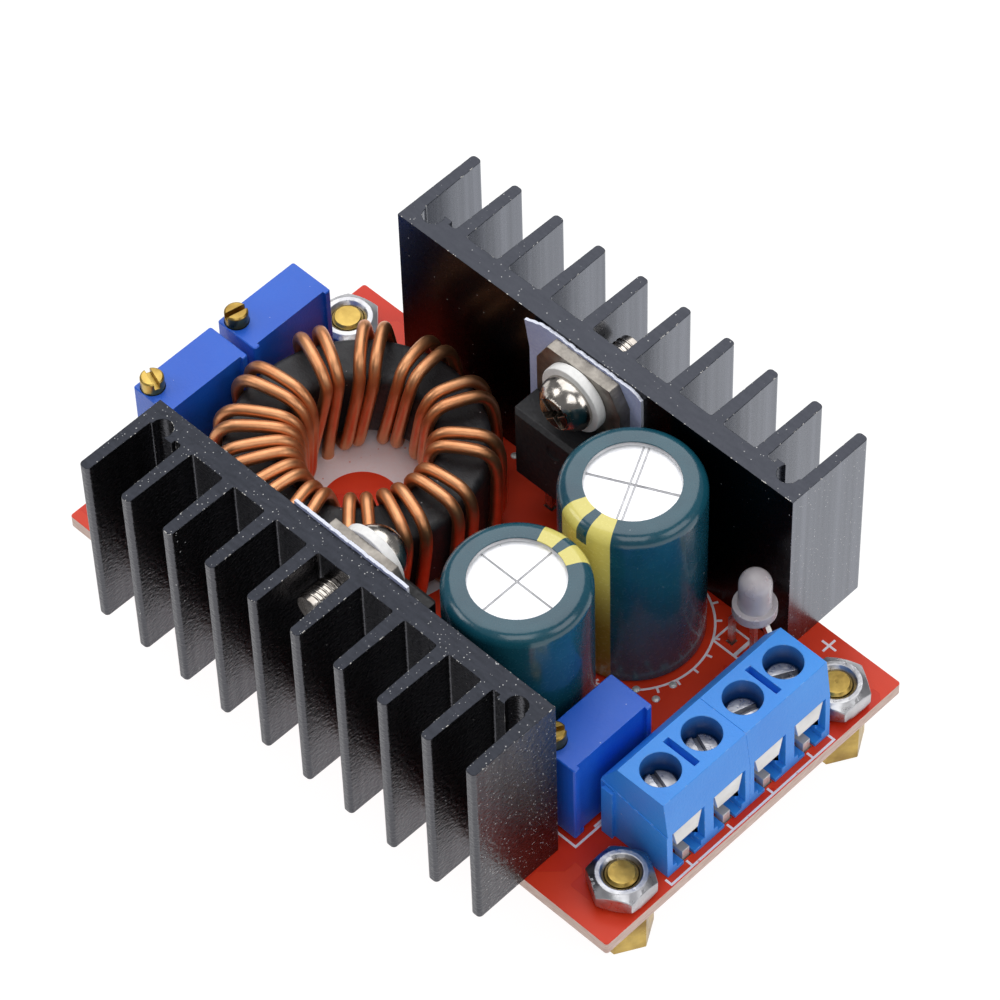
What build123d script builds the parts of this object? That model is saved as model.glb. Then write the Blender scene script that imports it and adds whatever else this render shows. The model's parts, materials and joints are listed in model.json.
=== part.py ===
from build123d import *
from math import cos, pi, radians, sin
import os

os.makedirs("parts", exist_ok=True)

# A step-up step-down voltage converter on a small circuit board, standing on four brass standoffs.
# The origin is under the middle of the board, on the surface that the standoffs rest on.
# +X runs along the board towards the terminal block, +Y towards the far heatsink, +Z is up.
# All sizes are in millimetres.

# Circuit board
board_length = 66.2
board_width = 37.2
board_thickness = 1.4
board_corner_radius = 0.3
pin_clearance = 0.12
seat_gap = 0.05

# Standoffs and nuts at the four corners
mount_inset_x = 3.1
mount_inset_y = 5.1
mount_hole_radius = 1.6
standoff_height = 5.0
standoff_across_flats = 5.0
standoff_chamfer = 0.25
stud_radius = 1.45
thread_hole_radius = 1.25
thread_hole_depth = 3.5
nut_across_flats = 5.5
nut_height = 2.4
nut_face_radius = 2.3
nut_crown_drop = 0.6
nut_countersink = 0.4
nut_turns = (20.0, 15.0, 30.0, 27.0)
thread_clearance = 0.05

# Heatsinks with vertical fins, one along each long edge
sink_length = 47.0
sink_height = 21.0
sink_face = 14.4
sink_base = 2.25
sink_reach = 24.0
fin_count = 10
fin_tip = 1.1
fin_root = 1.35
fin_tip_radius = 0.4
fin_root_radius = 0.25
channel_radius = 1.0
channel_inset = 2.4
channel_centre_depth = 2.1
channel_jaw_width = 1.1
channel_jaw_reach = 2.7
channel_jaw_lap = 0.3

# Transistors held against the heatsinks
tab_width = 10.0
tab_length = 15.1
tab_thickness = 1.3
tab_top = 20.5
tab_hole_radius = 1.9
tab_corner_x = 1.3
tab_corner_z = 2.4
case_width = 10.0
case_height = 8.9
case_bottom = 4.8
case_depth = 4.5
case_bevel = 0.4
case_dimple_radius = 0.8
case_dimple_share = 0.78
case_dimple_depth = 0.15
lead_pitch = 2.54
lead_width = 0.8
lead_thickness = 0.5
lead_shoulder_width = 1.3
lead_shoulder_height = 2.0
lead_inset = 2.7
pad_width = 13.4
pad_height = 18.0
pad_thickness = 0.3
pad_tops = {"near": 21.5, "far": 20.9}
pad_shift = -0.4

# Fixing screws with insulating shoulder washers
fixing_heights = {"near": 17.6, "far": 17.1}
fixing_radius = 1.45
fixing_length = 8.0
fixing_head_radius = 2.72
fixing_head_height = 2.1
fixing_rim_height = 0.6
fixing_crown_radius = 2.34
fixing_crown_height = 1.39
fixing_recess_width = 0.7
fixing_recess_length = 3.2
fixing_recess_depth = 1.2
fixing_recess_taper = 8.0
washer_radius = 3.4
washer_thickness = 1.0
washer_shoulder_length = 1.1
washer_bore_radius = 1.55

# Choke: a ring core wound with two wires side by side
core_x = -15.0
core_y = 0.2
core_outer_radius = 11.95
core_inner_radius = 7.1
core_height = 7.9
core_edge_radius = 0.8
wire_radius = 0.55
wire_slack = 0.1
wire_bend_radius = 1.4
winding_inner_radius = 6.45
winding_outer_radius = 12.7
pair_split_inner = 5.7
pair_split_outer = 4.3
turn_angles = (189.5, 216.0, 238.5, 262.0, 287.0, 316.5, 340.0, 364.5, 395.7, 426.5, 456.5, 487.0, 515.7)
outer_lean = 5.0
inner_lean = 16.0
start_splay_a = -3.0
start_splay_b = 3.5

# Electrolytic capacitors
capacitor_x = 11.7
capacitor_y = 0.25
capacitor_gap = 1.1
capacitor_wall_gap = 0.85
capacitor_height = 20.3
sleeve_thickness = 0.15
sleeve_lip_radius = 4.6
sleeve_lift = 0.3
can_shoulder_radius = 1.1
can_dish_depth = 0.35
can_dish_slope = 0.3
bung_radius = 5.3
bung_height = 2.2
bead_height = 3.0
bead_depth = 0.5
bead_half_width = 0.7
vent_turns = ((45.0, -45.0), (45.0, 52.0))
vent_groove_width = 0.35
vent_groove_depth = 0.15
vent_groove_length = 7.6
capacitor_lead_radius = 0.4
capacitor_lead_pitch = 5.0

# Multi-turn trimmers
trimmer_width = 4.83
trimmer_length = 9.53
trimmer_height = 10.4
trimmer_foot_height = 0.5
trimmer_foot_size = 1.1
trimmer_edge_radius = 0.25
trimmer_front_recess = 0.35
trimmer_back_recess = 0.15
trimmer_rib_width = 0.65
trimmer_cap_height = 1.6
trimmer_edge_chamfer = 0.1
trimmer_screw_radius = 1.1
trimmer_screw_chamfer = 0.15
trimmer_screw_rise = 1.4
trimmer_screw_inset = 1.25
trimmer_screw_sink = 0.9
trimmer_stem_radius = 0.7
trimmer_stem_length = 3.0
trimmer_slot_width = 0.5
trimmer_slot_depth = 0.7
trimmer_slot_turns = (-18.0, 77.0, 60.0)
trimmer_pin_radius = 0.28
trimmer_pin_pitch = 2.54
trimmer_places = ((-30.68, -4.98), (-30.68, 5.38), (21.6, -8.1))

# Terminal block: two housings of two ways each
terminal_pitch = 5.08
terminal_y = 0.15
terminal_back = 24.4
terminal_front = 32.2
terminal_height = 9.95
terminal_top_back = 26.2
terminal_top_front = 31.5
terminal_shelf = 5.7
terminal_shelf_front = 32.05
end_ledge_back = 7.0
end_ledge_depth = 0.12
terminal_back_shelf = 7.2
terminal_screw_x = 28.8
terminal_screw_hole_radius = 1.78
terminal_floor = 0.5
mouth_width = 3.95
mouth_depth = 0.65
mouth_floor = 1.1
floor_slot_width = 1.3
floor_slot_back = 30.3
divider_slot_width = 0.65
divider_slot_length = 3.6
divider_slot_depth = 1.5
rib_width = 0.9
rib_flare = 0.2
rib_flank_angle = 80.0
rib_reach = 0.5
rib_inset = 0.6

# Metal parts of each terminal
contact_width = 2.9
contact_back = 26.0
contact_top = 5.4
contact_top_thickness = 1.1
contact_back_thickness = 0.8
contact_floor_thickness = 0.6
contact_clearance = 0.05
contact_tongue_gap = 0.1
leaf_inset = 0.1
leaf_thickness = 0.4
leaf_bottom = 3.3
leaf_top_width = 3.5
leaf_bottom_width = 2.6
contact_pin_width = 0.9
terminal_pin_x = 31.35
clamp_width = 2.3
clamp_back = 27.1
clamp_front = 31.3
clamp_thickness = 0.5
clamp_rest = 2.7
clamp_lip_rise = 0.3
clamp_lip_length = 0.6
terminal_head_radius = 1.6
terminal_head_chamfer = 0.2
terminal_head_height = 1.1
terminal_head_rest = 6.75
terminal_slot_width = 0.55
terminal_slot_depth = 0.7
terminal_thread_radius = 1.2
terminal_tip_radius = 0.8
running_clearance = 0.05
tip_gap = 0.1
slot_turns = (-17.0, -21.0, 73.0, 62.0)

# Indicator lamp with three leads
lamp_share = 0.31
lamp_y = 11.85
lamp_bottom = 6.8
lamp_height = 5.3
lamp_radius = 1.5
lamp_flange_radius = 2.0
lamp_flange_height = 1.1
lamp_lead_width = 0.5
lamp_lead_pitch = 1.27
lamp_board_pitch = 2.54
lamp_bend_top = 5.9
lamp_bend_bottom = 3.4

# Small parts under the board
chip_width = 3.9
chip_length = 4.9
chip_height = 1.45
chip_lift = 0.1
chip_bevel = 0.3
chip_lead_pitch = 1.27
chip_lead_width = 0.42
chip_lead_thickness = 0.2
chip_lead_reach = 1.05
chip_knee_share = 0.4
chip_knee_slant = 0.15
chip_lead_count = 4
control_chip_place = (-11.0, -4.2)
amplifier_chip_place = (-11.0, 5.4)
sense_length = 6.3
sense_width = 3.1
sense_height = 0.6
sense_place = (1.2, 0.2)
chip_resistor_length = 1.6
chip_resistor_width = 0.8
chip_resistor_height = 0.45
chip_resistor_places = ((-3.4, -6.0), (-3.4, -4.2), (-3.4, -2.4), (-3.4, 3.6), (-3.4, 5.4), (-3.4, 7.2))
chip_capacitor_length = 2.0
chip_capacitor_width = 1.25
chip_capacitor_height = 0.9
chip_capacitor_places = ((2.0, -6.8), (2.0, -4.6), (2.0, 5.2), (2.0, 7.4), (-18.2, -4.2), (-18.2, 5.4))
joint_radius = 0.9
joint_tip_radius = 0.42
joint_height = 1.0

# Heights that the pieces share
board_bottom = standoff_height
board_top = board_bottom + board_thickness
mount_spacing_x = board_length - 2 * mount_inset_x
mount_spacing_y = board_width - 2 * mount_inset_y
sides = (("near", -1), ("far", 1))

# The two capacitors fill the width between the heatsinks
capacitor_radius = (2 * sink_face - capacitor_gap - 2 * capacitor_wall_gap) / 4
capacitor_spacing = 2 * capacitor_radius + capacitor_gap

# Where the leads go through the board
capacitor_centres = [(capacitor_x, capacitor_y + side * capacitor_spacing / 2) for name, side in sides]
capacitor_pins = []
for centre_x, centre_y in capacitor_centres:
    for half in (-0.5, 0.5):
        capacitor_pins.append((centre_x + half * capacitor_lead_pitch, centre_y))
trimmer_pins = []
for centre_x, centre_y in trimmer_places:
    for step in (-1, 0, 1):
        trimmer_pins.append((centre_x, centre_y + step * trimmer_pin_pitch))
# The lamp stands between the second capacitor and the corner nut, nearer to the capacitor
capacitor_edge = capacitor_x + capacitor_radius
lamp_x = capacitor_edge + lamp_share * (mount_spacing_x / 2 - capacitor_edge)
lamp_pins = [(lamp_x + step * lamp_board_pitch, lamp_y) for step in (-1, 0, 1)]
lead_row = sink_face - lead_inset
transistor_pins = []
for name, side in sides:
    for step in (-1, 0, 1):
        transistor_pins.append((step * lead_pitch, side * lead_row))
way_rows = [terminal_y + (way - 1.5) * terminal_pitch for way in range(4)]
contact_front = terminal_shelf_front - leaf_inset
terminal_pins = [(terminal_pin_x, row) for row in way_rows]


def on_ring(radius, angle, height):
    """A point at this radius and angle around the middle of the choke."""
    ring_x = core_x + radius * cos(radians(angle))
    ring_y = core_y + radius * sin(radians(angle))
    return Vector(ring_x, ring_y, height)


def wall_plane(side, distance, height=0):
    """A plane parallel to a heatsink's face, looking away from the board's middle, with its own y upwards."""
    return Plane(origin=(0, side * distance, height), x_dir=(-side, 0, 0), z_dir=(0, side, 0))


core_bottom = board_top + 2 * wire_radius + 2 * wire_slack
core_top = core_bottom + core_height
winding_low = core_bottom - wire_slack - wire_radius
winding_high = core_top + wire_slack + wire_radius
wires = (("a", -1, start_splay_a), ("b", 1, start_splay_b))
wire_ends = []
for name, split, splay in wires:
    start_angle = turn_angles[-1] + split * pair_split_inner + inner_lean + splay
    wire_ends.append(on_ring(winding_inner_radius, start_angle, board_bottom))
    wire_ends.append(on_ring(winding_outer_radius, turn_angles[0] + split * pair_split_outer, board_bottom))
wire_pins = [(end.X, end.Y) for end in wire_ends]

# Board with its mounting holes and its lead holes
with BuildPart() as circuit_board:
    with BuildSketch(Plane.XY.offset(board_bottom)):
        RectangleRounded(board_length, board_width, board_corner_radius)
        with GridLocations(mount_spacing_x, mount_spacing_y, 2, 2):
            Circle(mount_hole_radius, mode=Mode.SUBTRACT)
        with Locations(*capacitor_pins):
            Circle(capacitor_lead_radius + pin_clearance, mode=Mode.SUBTRACT)
        with Locations(*trimmer_pins):
            Circle(trimmer_pin_radius + pin_clearance, mode=Mode.SUBTRACT)
        with Locations(*wire_pins):
            Circle(wire_radius + pin_clearance, mode=Mode.SUBTRACT)
        with Locations(*lamp_pins):
            Rectangle(lamp_lead_width + 2 * pin_clearance, lamp_lead_width + 2 * pin_clearance, mode=Mode.SUBTRACT)
        with Locations(*transistor_pins):
            Rectangle(lead_width + 2 * pin_clearance, lead_thickness + 2 * pin_clearance, mode=Mode.SUBTRACT)
        with Locations(*terminal_pins):
            slot_side = contact_pin_width + 2 * pin_clearance
            Rectangle(slot_side, slot_side, mode=Mode.SUBTRACT)
    extrude(amount=board_thickness)
circuit_board.part.label = "circuit_board"
export_step(circuit_board.part, "parts/circuit_board.step")

# Hexagon standoff with a threaded foot and a stud that goes up through the board and its nut
with BuildPart() as standoff:
    with BuildSketch():
        RegularPolygon(standoff_across_flats / 2, 6, major_radius=False)
    extrude(amount=standoff_height)
    chamfer(standoff.faces().filter_by(Axis.Z).edges(), length=standoff_chamfer)
    with BuildSketch(Plane.XY.offset(standoff_height)):
        Circle(stud_radius)
    extrude(amount=board_thickness + nut_height)
    chamfer(standoff.faces().sort_by(Axis.Z)[-1].edges(), length=standoff_chamfer)
    with BuildSketch():
        Circle(thread_hole_radius)
    extrude(amount=thread_hole_depth, mode=Mode.SUBTRACT)
with BuildPart() as standoffs:
    with GridLocations(mount_spacing_x, mount_spacing_y, 2, 2):
        add(standoff.part)
standoffs.part.label = "standoffs"
export_step(standoffs.part, "parts/standoffs.step")

# Nut with both faces turned to a crown and its bore countersunk
nut_corner = nut_across_flats / (2 * cos(pi / 6))
with BuildPart() as nut:
    with BuildSketch(Plane.XY.offset(board_top)):
        RegularPolygon(nut_across_flats / 2, 6, major_radius=False)
        Circle(stud_radius + thread_clearance, mode=Mode.SUBTRACT)
    extrude(amount=nut_height)
    with BuildSketch(Plane.XZ):
        with BuildLine():
            Polyline(
                (stud_radius, board_top + nut_countersink),
                (stud_radius + nut_countersink, board_top),
                (nut_face_radius, board_top),
                (nut_corner, board_top + nut_crown_drop),
                (nut_corner, board_top + nut_height - nut_crown_drop),
                (nut_face_radius, board_top + nut_height),
                (stud_radius + nut_countersink, board_top + nut_height),
                (stud_radius, board_top + nut_height - nut_countersink),
                close=True,
            )
        make_face()
    revolve(axis=Axis.Z, mode=Mode.INTERSECT)
with BuildPart() as hex_nuts:
    for corner, turn in zip(GridLocations(mount_spacing_x, mount_spacing_y, 2, 2), nut_turns):
        with Locations(corner * Rotation(0, 0, turn)):
            add(nut.part)
hex_nuts.part.label = "hex_nuts"
export_step(hex_nuts.part, "parts/hex_nuts.step")

# Heatsinks: one extruded comb each, with a screw channel at both ends and a tapped hole in the base
fin_pitch = (sink_length - fin_tip) / (fin_count - 1)
trough = sink_face + sink_base
channel_x = sink_length / 2 - channel_inset
channel_y = sink_face + channel_centre_depth
jaw_outer = channel_x - channel_radius + channel_jaw_lap
for name, side in sides:
    outline = [(-sink_length / 2, side * sink_face), (sink_length / 2, side * sink_face)]
    for number in reversed(range(fin_count)):
        fin_x = (number - (fin_count - 1) / 2) * fin_pitch
        if number < fin_count - 1:
            outline.append((fin_x + fin_root / 2, side * trough))
        outline.append((fin_x + fin_tip / 2, side * sink_reach))
        outline.append((fin_x - fin_tip / 2, side * sink_reach))
        if number > 0:
            outline.append((fin_x - fin_root / 2, side * trough))
    with BuildPart() as heatsink:
        with BuildSketch(Plane.XY.offset(board_top)) as comb:
            with BuildLine():
                Polyline(*outline, close=True)
            make_face()
            tips = comb.vertices().filter_by(lambda corner: abs(abs(corner.Y) - sink_reach) < 0.001)
            fillet(tips, radius=fin_tip_radius)
            roots = comb.vertices().filter_by(lambda corner: abs(abs(corner.Y) - trough) < 0.001)
            fillet(roots, radius=fin_root_radius)
            for end in (-1, 1):
                jaw_x = end * (jaw_outer - channel_jaw_width / 2)
                with Locations((jaw_x, side * (sink_face + channel_jaw_reach / 2))):
                    Rectangle(channel_jaw_width, channel_jaw_reach)
                with Locations((end * channel_x, side * channel_y)):
                    Circle(channel_radius, mode=Mode.SUBTRACT)
        extrude(amount=sink_height)
        with BuildSketch(wall_plane(side, sink_face, board_top + fixing_heights[name])):
            Circle(fixing_radius + thread_clearance)
        extrude(amount=sink_base, mode=Mode.SUBTRACT)
    heatsink.part.label = f"heatsink_{name}"
    export_step(heatsink.part, f"parts/heatsink_{name}.step")

# Transistors: a flat metal tab, a moulded case in front of it and three leads down to the board
tab_back = sink_face - pad_thickness
tab_front = tab_back - tab_thickness
for name, side in sides:
    with BuildPart() as transistor_tab:
        with BuildSketch(wall_plane(side, tab_front, board_top)):
            with BuildLine():
                Polyline(
                    (-tab_width / 2, tab_top - tab_length),
                    (tab_width / 2, tab_top - tab_length),
                    (tab_width / 2, tab_top - tab_corner_z),
                    (tab_width / 2 - tab_corner_x, tab_top),
                    (tab_corner_x - tab_width / 2, tab_top),
                    (-tab_width / 2, tab_top - tab_corner_z),
                    close=True,
                )
            make_face()
        extrude(amount=tab_thickness)
        with BuildSketch(wall_plane(side, tab_front, board_top + fixing_heights[name])):
            Circle(tab_hole_radius)
        extrude(amount=tab_thickness, mode=Mode.SUBTRACT)
    transistor_tab.part.label = f"transistor_{name}_tab"
    export_step(transistor_tab.part, f"parts/transistor_{name}_tab.step")

    case_front_depth = case_depth - tab_thickness
    with BuildPart() as transistor_case:
        with BuildSketch(wall_plane(side, tab_front, board_top + case_bottom + case_height / 2)):
            Rectangle(case_width, case_height)
        extrude(amount=-case_front_depth)
        front_face = transistor_case.faces().sort_by(Axis.Y)[0 if side > 0 else -1]
        chamfer(front_face.edges(), length=case_bevel)
        tab_bottom = tab_top - tab_length
        with BuildSketch(wall_plane(side, tab_front, board_top + (case_bottom + tab_bottom) / 2)):
            Rectangle(case_width, tab_bottom - case_bottom)
        extrude(amount=tab_thickness)
        dimple_height = board_top + case_bottom + case_height * case_dimple_share
        with BuildSketch(wall_plane(side, tab_front - case_front_depth, dimple_height)):
            Circle(case_dimple_radius)
        extrude(amount=case_dimple_depth, mode=Mode.SUBTRACT)
    transistor_case.part.label = f"transistor_{name}_case"
    export_step(transistor_case.part, f"parts/transistor_{name}_case.step")

    shoulder_end = case_bottom - lead_shoulder_height
    with BuildPart() as transistor_leads:
        for step in (-1, 0, 1):
            with BuildSketch(wall_plane(side, lead_row - lead_thickness / 2)):
                with Locations((step * lead_pitch, board_top + case_bottom - lead_shoulder_height / 2)):
                    Rectangle(lead_shoulder_width, lead_shoulder_height)
                with Locations((step * lead_pitch, (board_bottom + board_top + shoulder_end) / 2)):
                    Rectangle(lead_width, board_top + shoulder_end - board_bottom)
            extrude(amount=lead_thickness)
    transistor_leads.part.label = f"transistor_{name}_leads"
    export_step(transistor_leads.part, f"parts/transistor_{name}_leads.step")

    with BuildPart() as insulating_pad:
        with BuildSketch(wall_plane(side, tab_back, board_top)):
            with Locations((-side * pad_shift, pad_tops[name] - pad_height / 2)):
                Rectangle(pad_width, pad_height)
            with Locations((0, fixing_heights[name])):
                Circle(fixing_radius + pin_clearance, mode=Mode.SUBTRACT)
        extrude(amount=pad_thickness)
    insulating_pad.part.label = f"insulating_pad_{name}"
    export_step(insulating_pad.part, f"parts/insulating_pad_{name}.step")

# Shoulder washers that keep each fixing screw off its tab, and the screws
with BuildPart() as shoulder_washers:
    for name, side in sides:
        with BuildSketch(wall_plane(side, tab_front, board_top + fixing_heights[name])):
            Circle(washer_radius)
        extrude(amount=-washer_thickness)
        with BuildSketch(wall_plane(side, tab_front, board_top + fixing_heights[name])):
            Circle(tab_hole_radius - seat_gap)
        extrude(amount=washer_shoulder_length)
        with BuildSketch(wall_plane(side, tab_front - washer_thickness, board_top + fixing_heights[name])):
            Circle(washer_bore_radius)
        extrude(amount=washer_thickness + washer_shoulder_length, mode=Mode.SUBTRACT)
shoulder_washers.part.label = "shoulder_washers"
export_step(shoulder_washers.part, "parts/shoulder_washers.step")

head_seat = tab_front - washer_thickness
with BuildPart() as fixing_screws:
    for name, side in sides:
        with BuildSketch(Plane.XY.offset(board_top + fixing_heights[name])):
            with BuildLine():
                crown = head_seat - fixing_head_height
                Line((0, side * crown), (fixing_recess_length / 2, side * crown))
                rim = (fixing_head_radius, side * (head_seat - fixing_rim_height))
                ThreePointArc(
                    (fixing_recess_length / 2, side * crown),
                    (fixing_crown_radius, side * (head_seat - fixing_crown_height)),
                    rim,
                )
                Polyline(
                    rim,
                    (fixing_head_radius, side * head_seat),
                    (fixing_radius, side * head_seat),
                    (fixing_radius, side * (head_seat + fixing_length)),
                    (0, side * (head_seat + fixing_length)),
                    (0, side * crown),
                )
            make_face()
        screw_axis = Axis((0, 0, board_top + fixing_heights[name]), (0, 1, 0))
        revolve(axis=screw_axis)
        with BuildSketch(wall_plane(side, crown, board_top + fixing_heights[name])):
            Rectangle(fixing_recess_width, fixing_recess_length, rotation=45)
            Rectangle(fixing_recess_width, fixing_recess_length, rotation=-45)
        extrude(amount=fixing_recess_depth, taper=fixing_recess_taper, mode=Mode.SUBTRACT)
fixing_screws.part.label = "fixing_screws"
export_step(fixing_screws.part, "parts/fixing_screws.step")

# Choke core: a ring of pressed powder with rounded edges
with BuildPart() as toroid_core:
    with BuildSketch(Plane.XZ):
        ring_width = core_outer_radius - core_inner_radius
        with Locations(((core_outer_radius + core_inner_radius) / 2, (core_bottom + core_top) / 2)):
            RectangleRounded(ring_width, core_height, core_edge_radius)
    revolve(axis=Axis.Z)
toroid_core.part.locate(Location((core_x, core_y, 0)))
toroid_core.part.label = "toroid_core"
export_step(toroid_core.part, "parts/toroid_core.step")

# Choke windings: two round wires laid side by side, over the top, down the outside and back under the core
for name, split, splay in wires:
    inner_shift = split * pair_split_inner
    outer_shift = split * pair_split_outer
    start_angle = turn_angles[-1] + inner_shift + inner_lean + splay
    path = [
        on_ring(winding_inner_radius, start_angle, board_bottom),
        on_ring(winding_inner_radius, start_angle, winding_low),
    ]
    for turn in reversed(range(len(turn_angles))):
        angle = turn_angles[turn]
        path.append(on_ring(winding_inner_radius, angle + inner_shift, winding_high))
        path.append(on_ring(winding_outer_radius, angle + outer_shift, winding_high))
        if turn > 0:
            # The wire goes back under the core and up through the hole, aslant to the turn before this one
            low_inner = turn_angles[turn - 1] + inner_shift + inner_lean
            path.append(on_ring(winding_outer_radius, angle + outer_shift - outer_lean, winding_low))
            path.append(on_ring(winding_inner_radius, low_inner, winding_low))
    path.append(on_ring(winding_outer_radius, turn_angles[0] + outer_shift, board_bottom))
    with BuildPart() as toroid_winding:
        with BuildLine() as route:
            FilletPolyline(*path, radius=wire_bend_radius)
        with BuildSketch(Plane(origin=route.line @ 0, z_dir=route.line % 0)):
            Circle(wire_radius)
        sweep(path=route.line)
    toroid_winding.part.label = f"toroid_winding_{name}"
    export_step(toroid_winding.part, f"parts/toroid_winding_{name}.step")

# Capacitors: a beaded can closed by a rubber bung, in a shrunk sleeve whose lip rolls over the top
can_radius = capacitor_radius - sleeve_thickness
can_bottom = board_top + sleeve_lift
can_top = board_top + capacitor_height - sleeve_thickness
bead_centre = can_bottom + bead_height
for number, (centre_x, centre_y) in enumerate(capacitor_centres, start=1):
    middle = Plane(origin=(centre_x, centre_y, 0), x_dir=(1, 0, 0), z_dir=(0, -1, 0))
    upright = Axis((centre_x, centre_y, 0), (0, 0, 1))
    with BuildPart() as capacitor_can:
        with BuildSketch(middle):
            with BuildLine():
                Polyline(
                    (0, can_bottom + bung_height),
                    (bung_radius + seat_gap, can_bottom + bung_height),
                    (bung_radius + seat_gap, can_bottom),
                    (can_radius, can_bottom),
                    (can_radius, bead_centre - bead_half_width),
                )
                ThreePointArc(
                    (can_radius, bead_centre - bead_half_width),
                    (can_radius - bead_depth, bead_centre),
                    (can_radius, bead_centre + bead_half_width),
                )
                Line((can_radius, bead_centre + bead_half_width), (can_radius, can_top - can_shoulder_radius))
                RadiusArc(
                    (can_radius, can_top - can_shoulder_radius),
                    (can_radius - can_shoulder_radius, can_top),
                    -can_shoulder_radius,
                )
                Polyline(
                    (can_radius - can_shoulder_radius, can_top),
                    (sleeve_lip_radius, can_top),
                    (sleeve_lip_radius - can_dish_slope, can_top - can_dish_depth),
                    (0, can_top - can_dish_depth),
                    (0, can_bottom + bung_height),
                )
            make_face()
        revolve(axis=upright)
        for turn in vent_turns[number - 1]:
            with BuildSketch(Plane.XY.offset(can_top - can_dish_depth)):
                with Locations((centre_x, centre_y)):
                    Rectangle(vent_groove_length, vent_groove_width, rotation=turn)
            extrude(amount=-vent_groove_depth, mode=Mode.SUBTRACT)
    capacitor_can.part.label = f"capacitor_{number}_can"
    export_step(capacitor_can.part, f"parts/capacitor_{number}_can.step")

    with BuildPart() as capacitor_sleeve:
        with BuildSketch(middle):
            with BuildLine():
                Line((capacitor_radius, can_bottom), (capacitor_radius, can_top - can_shoulder_radius))
                RadiusArc(
                    (capacitor_radius, can_top - can_shoulder_radius),
                    (can_radius - can_shoulder_radius, can_top + sleeve_thickness),
                    -(can_shoulder_radius + sleeve_thickness),
                )
                Polyline(
                    (can_radius - can_shoulder_radius, can_top + sleeve_thickness),
                    (sleeve_lip_radius, can_top + sleeve_thickness),
                    (sleeve_lip_radius, can_top),
                    (can_radius - can_shoulder_radius, can_top),
                )
                RadiusArc(
                    (can_radius - can_shoulder_radius, can_top),
                    (can_radius, can_top - can_shoulder_radius),
                    can_shoulder_radius,
                )
                Polyline(
                    (can_radius, can_top - can_shoulder_radius),
                    (can_radius, can_bottom),
                    (capacitor_radius, can_bottom),
                )
            make_face()
        revolve(axis=upright)
    capacitor_sleeve.part.label = f"capacitor_{number}_sleeve"
    export_step(capacitor_sleeve.part, f"parts/capacitor_{number}_sleeve.step")

    with BuildPart() as capacitor_bung:
        with BuildSketch(Plane.XY.offset(can_bottom)):
            with Locations((centre_x, centre_y)):
                Circle(bung_radius)
                with GridLocations(capacitor_lead_pitch, 0, 2, 1):
                    Circle(capacitor_lead_radius + seat_gap, mode=Mode.SUBTRACT)
        extrude(amount=bung_height)
    capacitor_bung.part.label = f"capacitor_{number}_bung"
    export_step(capacitor_bung.part, f"parts/capacitor_{number}_bung.step")

    with BuildPart() as capacitor_leads:
        with BuildSketch(Plane.XY.offset(board_bottom)):
            with Locations((centre_x, centre_y)):
                with GridLocations(capacitor_lead_pitch, 0, 2, 1):
                    Circle(capacitor_lead_radius)
        extrude(amount=can_bottom + bung_height - board_bottom)
    capacitor_leads.part.label = f"capacitor_{number}_leads"
    export_step(capacitor_leads.part, f"parts/capacitor_{number}_leads.step")

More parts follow.
